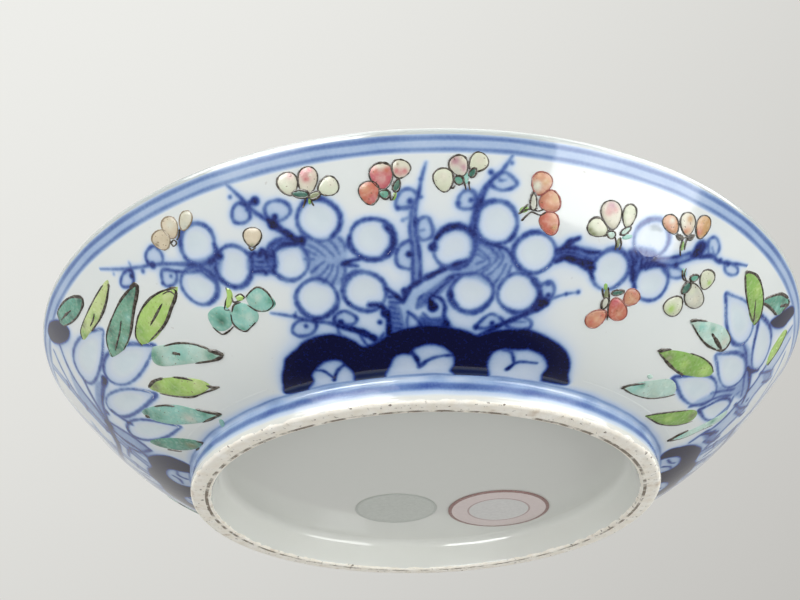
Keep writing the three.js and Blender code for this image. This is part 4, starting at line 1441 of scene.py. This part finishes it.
# bamboo leaves: outline, colour, washes
LEFT_LEAVES = [
    ([(58, 312), (63, 303), (70, 298), (79, 297), (83, 302), (81, 312), (75, 321), (66, 326), (60, 322)],
        TEAL, [(DEEP, 60, 318, 6), (DEEP, 80, 300, 6), (DEEP, 72, 316, 5)]),
    ([(84, 340), (81, 331), (84, 321), (90, 308), (97, 294), (103, 284), (108, 280), (109, 288),
        (107, 300), (103, 313), (98, 323), (92, 331)],
        SPROUT, [(LEAF, 85, 334, 7), (OLIVE, 84, 324, 5), (LEAF, 95, 316, 5)]),
    ([(112, 357), (108, 347), (107, 335), (112, 318), (120, 303), (129, 291), (137, 283), (137, 292),
        (134, 305), (132, 320), (130, 338), (125, 349)],
        JADE, [(DEEP, 110, 330, 7), (DEEP, 130, 293, 8), (AQUA, 129, 318, 4), (AQUA, 126, 340, 5),
        (DEEP, 117, 346, 6)]),
    ([(142, 345), (137, 338), (136, 327), (140, 312), (150, 300), (162, 292), (172, 288), (178, 287),
        (176, 297), (171, 311), (165, 325), (156, 338)],
        LIME, [(LEAF, 141, 330, 8), (LEAF, 146, 342, 6), (SPROUT, 168, 298, 8), (SPROUT, 155, 322, 6)]),
    ([(152, 348), (163, 345), (178, 343), (192, 344), (203, 348), (214, 351), (223, 354), (219, 359),
        (208, 362), (195, 363), (178, 365), (162, 366), (153, 361)],
        MINT, [(TEAL, 154, 355, 9), (TEAL, 212, 356, 7), (AQUA, 180, 354, 14), (JADE, 160, 363, 6)]),
    ([(149, 387), (155, 380), (165, 378), (176, 377), (190, 378), (201, 380), (210, 385), (207, 390),
        (199, 394), (188, 396), (172, 395), (158, 392)],
        LIME, [(OLIVE, 156, 386, 7), (LEAF, 175, 388, 8), (SPROUT, 198, 384, 8)]),
    ([(142, 412), (150, 407), (163, 405), (178, 405), (195, 409), (209, 412), (222, 415), (214, 419),
        (203, 422), (188, 424), (170, 424), (154, 420)],
        AQUA, [(DEEP, 147, 412, 7), (TEAL, 158, 416, 9), (GREY, 190, 418, 8), (TEAL, 205, 414, 6)]),
    ([(150, 441), (163, 438), (180, 438), (195, 440), (203, 443), (200, 447), (188, 450), (172, 449),
        (158, 446)],
        TEAL, [(DEEP, 158, 443, 8), (OLIVE, 192, 445, 7)]),
    ([(219, 420), (223, 420), (225, 425), (222, 427)], AQUA, []),
]
# brown lines over them: widths along the line, points
LEFT_LINES = [
    ((0.3, 0.4, 0.6, 0.7), [(60, 321), (58, 312), (64, 302), (72, 297), (82, 297)]),
    ((0.7, 0.45, 0.3), [(82, 297), (83, 304), (79, 314), (72, 322), (64, 326)]),
    ((0.3, 0.6, 0.35), [(62, 320), (67, 314), (72, 310)]),
    ((0.3, 0.25, 0.3, 0.6), [(83, 339), (81, 330), (87, 314), (94, 300), (104, 285)]),
    ((1.0, 0.8, 0.5, 0.35), [(106, 283), (108, 287), (106, 303), (100, 319), (92, 331)]),
    ((0.3, 0.42, 0.3), [(95, 313), (94, 319), (91, 326)]),
    ((0.3, 0.35, 0.4, 0.7), [(113, 357), (108, 346), (107, 334), (113, 316), (121, 300), (131, 288)]),
    ((0.8, 1.2, 0.9, 0.5, 0.3), [(130, 289), (136, 285), (136, 295), (133, 316), (130, 336), (124, 350)]),
    ((0.3, 0.6, 0.35), [(122, 320), (120, 334), (116, 350)]),
    ((0.3, 0.35, 0.45, 0.55), [(143, 346), (136, 336), (138, 318), (146, 303), (158, 293), (176, 287)]),
    ((0.7, 1.1, 0.6, 0.3), [(174, 289), (176, 293), (173, 302), (165, 324), (150, 341)]),
    ((0.3, 0.4), [(163, 294), (170, 291), (176, 295)]),
    ((0.35, 0.55, 0.3), [(163, 303), (157, 314), (151, 325)]),
    ((0.3, 0.4, 0.35, 0.45), [(164, 346), (178, 343), (194, 344), (209, 349)]),
    ((0.4, 0.9, 0.7), [(208, 350), (216, 352), (224, 355)]),
    ((0.8, 0.5, 0.3), [(223, 356), (214, 360), (196, 363)]),
    ((0.5, 0.9, 0.5), [(173, 353), (177, 353), (181, 354)]),
    ((0.5, 0.8, 0.4), [(149, 387), (154, 381), (163, 378)]),
    ((0.5, 0.6, 0.45, 0.8, 0.4), [(173, 377), (188, 379), (203, 384), (212, 387), (220, 387)]),
    ((0.25, 0.4, 0.4, 0.35), [(160, 393), (174, 396), (192, 397), (206, 392), (218, 388)]),
    ((0.3, 0.7, 0.9), [(196, 409), (209, 412), (222, 414)]),
    ((0.3, 0.8, 0.6), [(203, 422), (212, 418), (221, 414)]),
    ((0.8, 0.8), [(146, 416), (150, 416)]),
    ((0.3, 0.35), [(155, 406), (165, 405), (175, 406)]),
    ((0.4, 0.9, 0.8, 0.4), [(196, 441), (203, 443), (203, 447), (196, 450)]),
    ((0.3, 0.4), [(168, 449), (182, 451)]),
]
RIGHT_LEAVES = [
    ([(745, 275), (748, 272), (755, 274), (761, 284), (763, 300), (761, 312), (758, 320), (754, 325),
        (750, 319), (747, 305), (745, 290)],
        LEAF, [(LIME, 757, 290, 8), (OLIVE, 754, 318, 5)]),
    ([(764, 303), (766, 298), (772, 296), (780, 294), (786, 297), (789, 301), (786, 306), (781, 313),
        (777, 315), (773, 310), (768, 305)],
        TEAL, [(DEEP, 783, 300, 5), (AQUA, 776, 308, 4)]),
    ([(690, 321), (698, 320), (710, 322), (722, 326), (728, 332), (730, 340), (726, 346), (721, 350),
        (713, 348), (706, 345), (699, 338), (694, 329)],
        MINT, [(AQUA, 701, 327, 6), (TEAL, 712, 329, 4), (GREY, 724, 342, 6)]),
    ([(658, 351), (667, 350), (680, 351), (692, 354), (703, 358), (710, 364), (713, 371), (709, 376),
        (698, 377), (684, 375), (675, 370), (666, 361)],
        LEAF, [(OLIVE, 668, 358, 6), (LIME, 704, 370, 9), (LIME, 684, 364, 5)]),
    ([(622, 388), (630, 385), (641, 382), (655, 380), (670, 379), (676, 386), (673, 394), (660, 397),
        (648, 398), (636, 396), (628, 392)],
        MINT, [(AQUA, 634, 388, 8), (TEAL, 642, 385, 4)]),
    ([(645, 416), (655, 414), (670, 412), (685, 410), (695, 410), (697, 414), (692, 420), (683, 424),
        (671, 425), (659, 423)],
        LEAF, [(OLIVE, 692, 415, 6), (LIME, 668, 418, 6)]),
    ([(668, 440), (676, 437), (690, 430), (705, 423), (719, 415), (727, 410), (724, 417), (712, 425),
        (697, 432), (683, 438)],
        MINT, [(AQUA, 680, 435, 7), (TEAL, 712, 421, 5)]),
    ([(784, 330), (787, 332), (782, 342), (775, 355), (766, 365), (770, 352), (777, 340)], LIME, []),
    ([(647, 376), (650, 374), (653, 377), (649, 379)], MINT, []),
]
RIGHT_LINES = [
    ((0.8, 0.6, 0.3, 0.4), [(745, 273), (749, 272), (757, 276), (762, 288), (763, 303), (760, 317),
        (754, 325)]),
    ((0.5, 0.3, 0.35), [(745, 275), (746, 294), (749, 311), (753, 323)]),
    ((0.25, 0.4, 0.55), [(755, 299), (754, 310), (753, 321)]),
    ((0.5, 0.6, 0.8), [(765, 299), (772, 296), (781, 294), (788, 298)]),
    ((0.6, 0.5, 0.5), [(763, 303), (769, 307), (776, 315)]),
    ((0.6, 0.3), [(788, 299), (788, 304), (782, 311)]),
    ((0.5, 0.9, 0.5), [(788, 305), (784, 305), (779, 306)]),
    ((0.6, 0.6, 0.3), [(690, 321), (697, 320), (707, 321)]),
    ((0.3, 0.4, 0.6), [(692, 324), (699, 336), (707, 345), (716, 350)]),
    ((0.7, 0.5, 0.35, 0.2), [(716, 350), (723, 350), (728, 345), (730, 338), (726, 329)]),
    ((0.5, 0.9, 0.7), [(711, 333), (716, 341), (721, 349)]),
    ((0.4, 0.9, 0.4), [(657, 351), (663, 350), (671, 349)]),
    ((0.25, 0.4, 0.3), [(690, 353), (703, 358), (711, 365), (713, 372)]),
    ((0.4, 0.65, 0.4), [(659, 353), (667, 362), (675, 370), (683, 375)]),
    ((0.7, 0.5, 0.3), [(621, 388), (630, 385), (645, 383)]),
    ((0.5, 0.35, 0.3, 0.25), [(623, 388), (633, 394), (648, 398), (664, 397), (675, 394)]),
    ((0.35, 0.4, 0.25), [(645, 416), (655, 414), (670, 412), (688, 410)]),
    ((0.4, 0.4, 0.25), [(647, 417), (660, 424), (676, 425), (692, 421)]),
    ((0.8, 0.6, 0.3), [(667, 441), (676, 436), (688, 430)]),
    ((0.4, 0.3, 0.2), [(668, 441), (682, 438), (698, 431), (712, 425)]),
    ((0.2, 0.3, 0.2), [(786, 331), (779, 347), (767, 365)]),
]


def bamboo_leaves(name, centre):
    """Leaves of one stand; a short line lies over the longer ones."""
    enamel = Enamel(centre)
    for root, leaves, lines in ((-90, LEFT_LEAVES, LEFT_LINES), (90, RIGHT_LEAVES, RIGHT_LINES)):
        enamel.shift = centre - root
        for outline, colour, washes in leaves:
            enamel.dab(outline, colour, washes)
        for widths, points in lines:
            lift = SHORT_LINE_LIFT if len(points) < 4 else 2 * LAYER_LIFT
            enamel.ribbon(points, widths, lift=lift, gaps=0.3)
    return enamel.piece(name)


# Materials

def node_material(name):
    material = bpy.data.materials.new(name)
    material.use_nodes = True
    tree = material.node_tree
    return material, tree, tree.nodes["Principled BSDF"]


def add_node(tree, kind, **inputs):
    node = tree.nodes.new(kind)
    for key, value in inputs.items():
        node.inputs[key.replace("_", " ")].default_value = value
    return node


def position(tree):
    """Place on the object, in metres."""
    return tree.nodes.new("ShaderNodeTexCoord").outputs["Object"]


def height_of(tree):
    parts = tree.nodes.new("ShaderNodeSeparateXYZ")
    tree.links.new(position(tree), parts.inputs["Vector"])
    return parts.outputs["Z"]


def noise(tree, scale, detail):
    """Soft random value, mostly 0.3 to 0.7; scale is how many blotches there are in a metre."""
    node = add_node(tree, "ShaderNodeTexNoise", Scale=scale, Detail=detail)
    tree.links.new(position(tree), node.inputs["Vector"])
    return node.outputs["Fac"]


def mapped(tree, value, low, high, start=0.3, stop=0.7):
    """Carries start and stop over to low and high, and holds the value between those."""
    node = tree.nodes.new("ShaderNodeMapRange")
    node.inputs["From Min"].default_value = start
    node.inputs["From Max"].default_value = stop
    node.inputs["To Min"].default_value = low
    node.inputs["To Max"].default_value = high
    tree.links.new(value, node.inputs["Value"])
    return node.outputs["Result"]


def feed(tree, value, socket):
    """Links a socket to another one, or sets it to a value."""
    if hasattr(value, "links"):
        tree.links.new(value, socket)
    else:
        socket.default_value = value


def mixed(tree, factor, first, second, mode="MIX"):
    """Mix of two colours."""
    node = tree.nodes.new("ShaderNodeMix")
    node.data_type = "RGBA"
    node.blend_type = mode
    for key, kind, value in (("Factor", "VALUE", factor), ("A", "RGBA", first), ("B", "RGBA", second)):
        socket = next(s for s in node.inputs if s.name == key and s.type == kind)
        feed(tree, value, socket)
    return next(s for s in node.outputs if s.type == "RGBA")


def mixed_values(tree, factor, first, second):
    """Mix of two plain values."""
    node = tree.nodes.new("ShaderNodeMix")
    for key, value in (("Factor", factor), ("A", first), ("B", second)):
        feed(tree, value, node.inputs[key])
    return node.outputs["Result"]


def bump(tree, bsdf, height, strength, distance):
    node = add_node(tree, "ShaderNodeBump", Strength=strength, Distance=distance)
    tree.links.new(height, node.inputs["Height"])
    tree.links.new(node.outputs["Normal"], bsdf.inputs["Normal"])


def combined(tree, operation, first, second):
    node = tree.nodes.new("ShaderNodeMath")
    node.operation = operation
    feed(tree, first, node.inputs[0])
    feed(tree, second, node.inputs[1])
    return node.outputs[0]


def ring_mask(tree, distance, middle, half):
    """1 where a distance in metres is within half of the middle, both in millimetres."""
    node = add_node(tree, "ShaderNodeMath")
    node.operation = "COMPARE"
    tree.links.new(distance, node.inputs[0])
    node.inputs[1].default_value = middle * MM
    node.inputs[2].default_value = half * MM
    return node.outputs[0]


def vector_node(tree, operation, first, second=None):
    node = add_node(tree, "ShaderNodeVectorMath")
    node.operation = operation
    feed(tree, first, node.inputs[0])
    if second is not None:
        feed(tree, second, node.inputs[1])
    return node


def distance_from_axis(tree):
    flat = vector_node(tree, "MULTIPLY", position(tree), (1, 1, 0))
    return vector_node(tree, "LENGTH", flat.outputs[0]).outputs["Value"]


def attribute(tree, name, output):
    node = tree.nodes.new("ShaderNodeAttribute")
    node.attribute_name = name
    return node.outputs[output]


GLAZE = linear(224, 228, 225)
GLAZE_SHADE = linear(216, 222, 220)
LIP_TINT = linear(186, 192, 189)
# glaze in the recess: a slightly warmer tint of its own, made a little darker as painted shade
RECESS_TINT_AND_SHADE = linear(221, 223, 217)
FOOT_TINT = linear(219, 220, 213)
GLAZE_SPECK = linear(150, 140, 125)
CLAY_PALE, CLAY_WARM = linear(254, 251, 241), linear(242, 235, 219)
IRON_SPOT = linear(96, 78, 58)
CLAY_RUST = linear(176, 146, 108)
KILN_GRIT = linear(112, 98, 78)
WINDOW_PALE, WINDOW_BLUE = linear(223, 239, 244), linear(208, 227, 236)
ENAMEL_POOL = linear(216, 212, 198)
# pale cream of the glints painted on the enamel
ENAMEL_PAINTED_GLINT = linear(238, 234, 214)
ENAMEL_SPECK = linear(112, 88, 66)
GLAZE_IOR = 1.58
CLAY_ROUGHNESS = 0.85
# Heights on the foot between which bare clay gives way to glaze, and how ragged that edge is
BARE_TO, GLAZED_FROM, RAGGED = 0.3, 0.5, 0.2
# Heights between which the tint of the foot fades out and the tint of the lip comes in
FOOT_TINT_FULL, FOOT_TINT_END = 1.4, 3
LIP_TINT_START, LIP_TINT_FULL = WALL_TOP - 0.7, WALL_TOP + 0.2
# Radius of the gritty line along the inner side of the foot's resting face
KILN_LINE, KILN_LINE_HALF_WIDTH = FOOT_INNER_RADIUS + 0.85, 0.3
# ink, then its colour
COBALT = [
    (0.0, GLAZE), (0.12, linear(198, 211, 226)), (0.3, linear(152, 176, 209)),
    (0.5, linear(104, 131, 179)), (0.72, linear(56, 81, 149)), (0.88, linear(18, 36, 108)),
    (0.98, linear(6, 9, 50)),
]


def glaze_colour(tree):
    """Pale glaze, greyer at the foot and the lip, with a few specks."""
    broad = mapped(tree, noise(tree, 45, 2), 0, 1)
    colour = mixed(tree, broad, GLAZE, GLAZE_SHADE)
    height = height_of(tree)
    foot = mapped(tree, height, 1, 0, FOOT_TINT_FULL * MM, FOOT_TINT_END * MM)
    colour = mixed(tree, foot, colour, FOOT_TINT)
    lip = mapped(tree, height, 0, 1, LIP_TINT_START * MM, LIP_TINT_FULL * MM)
    colour = mixed(tree, lip, colour, LIP_TINT)
    specks = mapped(tree, noise(tree, 900, 2), 0, 0.35, 0.74, 0.8)
    return mixed(tree, specks, colour, GLAZE_SPECK)


def inked(tree, ground):
    """Cobalt over a ground: the ink attribute runs from bare ground to navy."""
    ink = attribute(tree, "ink", "Fac")
    grain = mapped(tree, noise(tree, 2200, 3), 0.94, 1.06)
    ramp = tree.nodes.new("ShaderNodeValToRGB")
    while len(ramp.color_ramp.elements) < len(COBALT):
        ramp.color_ramp.elements.new(0.5)
    for element, (place, colour) in zip(ramp.color_ramp.elements, COBALT):
        element.position = place
        element.color = colour
    tree.links.new(combined(tree, "MULTIPLY", ink, grain), ramp.inputs["Fac"])
    cover = mapped(tree, ink, 0, 1, 0.0, 0.1)
    return mixed(tree, cover, ground, ramp.outputs["Color"])


def glaze_roughness(tree):
    return mapped(tree, noise(tree, 160, 3), 0.06, 0.12)


def bare_mask(tree):
    """1 on the resting face, where the glaze was wiped off, with a ragged edge."""
    ragged = mapped(tree, noise(tree, 420, 4), -RAGGED * MM, RAGGED * MM)
    height = combined(tree, "ADD", height_of(tree), ragged)
    return mapped(tree, height, 1, 0, BARE_TO * MM, GLAZED_FROM * MM)


def recess_mask(tree):
    """1 in the recess inside the foot ring, 0 further out and higher up."""
    low = mapped(tree, height_of(tree), 1, 0, (RECESS_DEPTH + 1) * MM, (RECESS_DEPTH + 2) * MM)
    edge = FOOT_INNER_RADIUS + 0.5
    near = mapped(tree, distance_from_axis(tree), 1, 0, edge * MM, (edge + 0.5) * MM)
    return combined(tree, "MULTIPLY", low, near)


def clay_colour(tree):
    """Unglazed clay with iron spots, rust, and grit on the kiln line."""
    clay = mixed(tree, mapped(tree, noise(tree, 500, 5), 0, 1), CLAY_PALE, CLAY_WARM)
    iron = mapped(tree, noise(tree, 1150, 3), 0, 0.9, 0.63, 0.7)
    clay = mixed(tree, iron, clay, IRON_SPOT)
    rust = mapped(tree, noise(tree, 260, 4), 0, 0.55, 0.62, 0.75)
    clay = mixed(tree, rust, clay, CLAY_RUST)
    kiln_line = ring_mask(tree, distance_from_axis(tree), KILN_LINE, KILN_LINE_HALF_WIDTH)
    grit = mapped(tree, noise(tree, 420, 5), 0, 0.9, 0.42, 0.56)
    return mixed(tree, combined(tree, "MULTIPLY", kiln_line, grit), clay, KILN_GRIT)


def porcelain_material():
    """Clear glaze over white clay; the resting face is bare clay."""
    material, tree, bsdf = node_material("porcelain_glaze")
    bare = bare_mask(tree)
    # the recess takes its warmer tint and a little painted shade
    glazed = mixed(tree, recess_mask(tree), glaze_colour(tree), RECESS_TINT_AND_SHADE)
    tree.links.new(mixed(tree, bare, glazed, clay_colour(tree)), bsdf.inputs["Base Color"])
    bsdf.inputs["IOR"].default_value = GLAZE_IOR
    rough = mixed_values(tree, bare, glaze_roughness(tree), CLAY_ROUGHNESS)
    tree.links.new(rough, bsdf.inputs["Roughness"])
    ripples = mapped(tree, noise(tree, 230, 2), 0, 0.1, 0, 1)
    bump(tree, bsdf, mixed_values(tree, bare, ripples, noise(tree, 1500, 4)), 0.5, 0.0003)
    return material


def cobalt_material():
    """Cobalt painted under the clear glaze."""
    material, tree, bsdf = node_material("cobalt_under_glaze")
    tree.links.new(inked(tree, glaze_colour(tree)), bsdf.inputs["Base Color"])
    bsdf.inputs["IOR"].default_value = GLAZE_IOR
    tree.links.new(glaze_roughness(tree), bsdf.inputs["Roughness"])
    bump(tree, bsdf, noise(tree, 230, 2), 0.12, 0.0002)
    return material


def enamel_material():
    """Glassy overglaze colour in uneven pools, with small brown specks and small pale painted glints."""
    material, tree, bsdf = node_material("enamel")
    tint = attribute(tree, "tint", "Color")
    pools = mapped(tree, noise(tree, 380, 2), 0, 0.5)
    colour = mixed(tree, pools, tint, ENAMEL_POOL, "MULTIPLY")
    # small pale patches: painted glints
    painted_glints = mapped(tree, noise(tree, 1500, 1), 0, 0.16, 0.45, 0.75)
    colour = mixed(tree, painted_glints, colour, ENAMEL_PAINTED_GLINT)
    specks = mapped(tree, noise(tree, 2400, 1), 0, 0.75, 0.7, 0.74)
    tree.links.new(mixed(tree, specks, colour, ENAMEL_SPECK), bsdf.inputs["Base Color"])
    tree.links.new(mapped(tree, noise(tree, 700, 2), 0.14, 0.3), bsdf.inputs["Roughness"])
    bump(tree, bsdf, noise(tree, 700, 2), 0.2, 0.0002)
    return material


def window_material():
    """Translucent glaze in the windows, darker at its edge with painted shade, and the cobalt rings lapping
    over it.
    """
    material, tree, bsdf = node_material("clear_window_glaze")
    broad = mapped(tree, noise(tree, 300, 3), 0, 1)
    pale = mixed(tree, broad, WINDOW_PALE, WINDOW_BLUE)
    tree.links.new(inked(tree, pale), bsdf.inputs["Base Color"])
    tree.links.new(mapped(tree, noise(tree, 200, 2), 0.04, 0.1), bsdf.inputs["Roughness"])
    bsdf.inputs["IOR"].default_value = GLAZE_IOR
    clearness = mapped(tree, attribute(tree, "ink", "Fac"), 0.2, 0, 0, 0.12)
    tree.links.new(clearness, bsdf.inputs["Transmission Weight"])
    bump(tree, bsdf, noise(tree, 500, 2), 0.15, 0.0002)
    return material


def paper_material(name, base, centre, radius, rings):
    """Label with worn rings: middle and half width as shares of the radius, strength, colour."""
    material, tree, bsdf = node_material(name)
    fibre = mapped(tree, noise(tree, 1500, 4), 0, 1)
    colour = mixed(tree, fibre, linear(*base), linear(*[int(c * 0.96) for c in base]))
    away = vector_node(tree, "DISTANCE", position(tree), tuple(c * MM for c in centre)).outputs["Value"]
    for middle, half, strength, ink in rings:
        ring = ring_mask(tree, away, middle * radius, half * radius)
        worn = mapped(tree, noise(tree, 1900, 3), strength * 0.8, strength)
        colour = mixed(tree, combined(tree, "MULTIPLY", ring, worn), colour, linear(*ink))
    tree.links.new(colour, bsdf.inputs["Base Color"])
    tree.links.new(mapped(tree, noise(tree, 900, 3), 0.45, 0.6), bsdf.inputs["Roughness"])
    bump(tree, bsdf, noise(tree, 2500, 3), 0.2, 0.0001)
    return material


# Pieces

def place_piece(piece, material, nodes=()):
    piece.data.materials.clear()
    piece.data.materials.append(material)
    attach(piece, "root")
    if nodes:
        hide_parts(*nodes)


# half section of a label from its underside to its top, as shares of its radius and its thickness
LABEL_SECTION = [
    (0.0, 1.0), (0.6, 1.0), (0.985, 1.0), (1.0, 0.8), (1.0, 0.3), (0.985, 0.0), (0.9, 0.0), (0.6, 0.0),
    (0.3, 0.0), (0.0, 0.0),
]
LABEL_COLUMNS = 72


def disc(name, centre, radius, top, thickness):
    """Thin round label with a softened edge, hanging from the recess."""
    profile = [(share * radius, -down * thickness) for share, down in LABEL_SECTION]
    piece = lathe(name, profile, LABEL_COLUMNS)
    piece.data.transform(Matrix.Translation((centre[0] * MM, centre[1] * MM, top * MM)))
    return piece


glaze = porcelain_material()
cobalt = cobalt_material()
enamel = enamel_material()
clear = window_material()

place_piece(pierced_body(), glaze, ["porcelain_body"])
place_piece(rim_band(), cobalt)
place_piece(foot_band(), cobalt)

tree_sheet = paint_tree()
stand_sheet = paint_stand()


def place_motif(side, centre, sheet, windows, plant, lift, names, enamel_piece):
    """Painted patch of wall, its glaze windows and its raised enamel."""
    place_piece(sheet.patch(f"{plant}_{side}", centre, lift, windows(0, 0.0)), cobalt)
    lenses = lens_piece(f"windows_{side}", windows(centre, LAP), sheet, centre)
    place_piece(lenses, clear, names)
    place_piece(enamel_piece, enamel)


# Painted skins of tree and bamboo lie at lifts of their own, because their ends overlap
TREE_LIFT, STAND_LIFT = 0.045, 0.038
for index, (side, centre) in enumerate(TREES.items(), start=1):
    names = [f"round_window_{index}_{i}" for i in range(1, len(PLUM_WINDOWS) + 1)]
    flowers = blossoms(f"blossoms_{side}", centre)
    place_motif(side, centre, tree_sheet, tree_windows, "plum_tree", TREE_LIFT, names, flowers)
for index, (side, centre) in enumerate(STANDS.items(), start=1):
    names = [f"leaf_window_{index}_{i}" for i in range(1, len(BAMBOO_WINDOWS) + 1)]
    leaves = bamboo_leaves(f"leaves_{side}", centre)
    place_motif(side, centre, stand_sheet, stand_windows, "bamboo", STAND_LIFT, names, leaves)

# Labels in the recess: middle, radius, thickness and colour
WHITE_LABEL, CLEAR_LABEL = (16.5, 19.5), (-5.9, 18.0)
WHITE_RADIUS, CLEAR_RADIUS = 11, 8.8
LABEL_TOP, LABEL_THICKNESS, FILM_THICKNESS = RECESS_DEPTH - 0.02, 0.25, 0.12
WHITE_COLOUR, CLEAR_COLOUR = (224, 223, 220), (206, 210, 203)
# rings: middle and half width as shares of the radius, strength, colour
WHITE_RINGS = [
    (0.78, 0.155, 0.5, (228, 200, 196)), (0.605, 0.018, 0.7, (168, 124, 120)),
    (0.967, 0.035, 1, (146, 108, 102)),
]
CLEAR_RINGS = [(0.97, 0.03, 0.5, (172, 178, 172))]
white_face = (*WHITE_LABEL, LABEL_TOP - LABEL_THICKNESS)
clear_face = (*CLEAR_LABEL, LABEL_TOP - FILM_THICKNESS)
white = paper_material("label_paper", WHITE_COLOUR, white_face, WHITE_RADIUS, WHITE_RINGS)
film = paper_material("label_film", CLEAR_COLOUR, clear_face, CLEAR_RADIUS, CLEAR_RINGS)
white_disc = disc("white_label", WHITE_LABEL, WHITE_RADIUS, LABEL_TOP, LABEL_THICKNESS)
place_piece(white_disc, white, ["paper_label"])
film_disc = disc("film_label", CLEAR_LABEL, CLEAR_RADIUS, LABEL_TOP, FILM_THICKNESS)
place_piece(film_disc, film, ["clear_label"])


# Floor, lamps and backdrop, in metres

FLOOR_REACH = 3.0
FLOOR_COLOUR, FLOOR_ROUGHNESS = (240, 239, 236), 0.8
# Distance of every lamp from the dish
LAMP_DISTANCE = 0.8
# lamps: name, azimuth, elevation, width, height, power; a pane has its lean too
OVERHEAD = ("overhead", 10, 75, 0.9, 0.9, 3.4)
WINDOW_LAMPS = [("right_window", 61, 5, 0.5, 1.3, 7.0), ("left_window", -38, 9, 0.42, 1.3, 6.1)]
PANES = [
    ("right_low_pane", 53, -13.5, 0.56, 0.76, 6.5, 18), ("right_high_pane", 67, 25, 0.6, 0.75, 8.0, 0),
    ("left_low_pane", -32, -9.5, 0.56, 0.6, 10.5, -11), ("left_high_pane", -39, 25, 0.6, 0.75, 9.0, 0),
]
# Soft light from below and from above
LOW_LIGHT, HIGH_LIGHT = 0.59, 0.28
# Dim patch below the dish: its direction, how bright it stays, and how near a ray comes to that
# direction at its edge and where it is dimmest
DIM_CENTRE, DIM_SHARE = (0.0, 0.26, -0.966), 0.2
DIM_EDGE, DIM_INSIDE = 0.83, 0.93
# The backdrop runs from dim to pale this way
BACKDROP_LEAN = (-0.19, 0.0, 0.29)
BACKDROP_DIM, BACKDROP_PALE = (172, 170, 166), (239, 239, 235)


def make_floor():
    """Pale ground that is seen from above only, and that throws nothing back at the dish."""
    reach = FLOOR_REACH
    corners = [(-reach, -reach, 0), (reach, -reach, 0), (reach, reach, 0), (-reach, reach, 0)]
    mesh = bpy.data.meshes.new("floor")
    mesh.from_pydata(corners, [], [(0, 1, 2, 3)])
    floor = bpy.data.objects.new("floor", mesh)
    bpy.context.scene.collection.objects.link(floor)
    material, tree, bsdf = node_material("pale_floor")
    bsdf.inputs["Base Color"].default_value = linear(*FLOOR_COLOUR)
    bsdf.inputs["Roughness"].default_value = FLOOR_ROUGHNESS
    facing = tree.nodes.new("ShaderNodeNewGeometry").outputs["Backfacing"]
    see_through = tree.nodes.new("ShaderNodeBsdfTransparent")
    mix = tree.nodes.new("ShaderNodeMixShader")
    tree.links.new(facing, mix.inputs["Fac"])
    tree.links.new(bsdf.outputs["BSDF"], mix.inputs[1])
    tree.links.new(see_through.outputs["BSDF"], mix.inputs[2])
    tree.links.new(mix.outputs["Shader"], tree.nodes["Material Output"].inputs["Surface"])
    mesh.materials.append(material)
    floor.visible_diffuse = False
    floor.visible_glossy = False
    floor.visible_transmission = False
    floor.visible_shadow = False
    return floor


def lamp(name, azimuth, elevation, width, height, power, lean=0.0):
    """Soft box in a direction from the dish, facing it; lean turns it about its own middle."""
    a, e, turn = math.radians(azimuth), math.radians(elevation), math.radians(lean)
    back = np.array([math.sin(a) * math.cos(e), -math.cos(a) * math.cos(e), math.sin(e)])
    data = bpy.data.lights.new(name, "AREA")
    data.shape = "RECTANGLE"
    data.size, data.size_y = width, height
    data.energy = power
    light = bpy.data.objects.new(name, data)
    bpy.context.scene.collection.objects.link(light)
    side = np.cross([0, 0, 1.0], back)
    side = side / np.linalg.norm(side)
    up = np.cross(back, side)
    matrix = np.eye(4)
    matrix[:3, 0] = side * math.cos(turn) + up * math.sin(turn)
    matrix[:3, 1] = up * math.cos(turn) - side * math.sin(turn)
    matrix[:3, 2] = back
    matrix[:3, 3] = back * LAMP_DISTANCE
    light.matrix_world = Matrix(matrix.tolist())
    return light


def make_lamps(floor):
    """Overhead light and two windows. The glaze reflects bright panes in place of the windows.

    The windows light the dish alone, so that the floor beside them stays even.
    """
    lamp(*OVERHEAD)
    dish_only = bpy.data.collections.new("dish_only")
    dish_only.objects.link(floor)
    dish_only.collection_objects[0].light_linking.link_state = "EXCLUDE"
    for values in WINDOW_LAMPS:
        light = lamp(*values)
        light.visible_glossy = False
        light.light_linking.receiver_collection = dish_only
    for values in PANES:
        pane = lamp(*values)
        pane.visible_diffuse = False
        pane.light_linking.receiver_collection = dish_only


def towards(tree, direction):
    """How far a ray of the world points in a direction."""
    ray = tree.nodes.new("ShaderNodeTexCoord").outputs["Generated"]
    return vector_node(tree, "DOT_PRODUCT", ray, direction).outputs["Value"]


def make_world():
    """Soft light, and the backdrop that is seen directly and in the glaze, both dim below the dish."""
    world = bpy.data.worlds.new("studio")
    bpy.context.scene.world = world
    world.use_nodes = True
    tree = world.node_tree
    soft = mapped(tree, towards(tree, (0, 0, 1)), LOW_LIGHT, HIGH_LIGHT, -0.3, 0.3)
    patch = mapped(tree, towards(tree, DIM_CENTRE), 1, DIM_SHARE, DIM_EDGE, DIM_INSIDE)
    backdrop = mapped(tree, towards(tree, BACKDROP_LEAN), 0, 1, -0.15, 0.3)
    backdrop = mixed(tree, backdrop, linear(*BACKDROP_DIM), linear(*BACKDROP_PALE))
    rays = tree.nodes.new("ShaderNodeLightPath").outputs
    seen = combined(tree, "MAXIMUM", rays["Is Camera Ray"], rays["Is Glossy Ray"])
    seen = combined(tree, "MAXIMUM", seen, rays["Is Transmission Ray"])
    colour = mixed(tree, seen, soft, backdrop)
    tree.links.new(mixed(tree, 1.0, colour, patch, "MULTIPLY"), tree.nodes["Background"].inputs["Color"])


make_lamps(make_floor())
make_world()
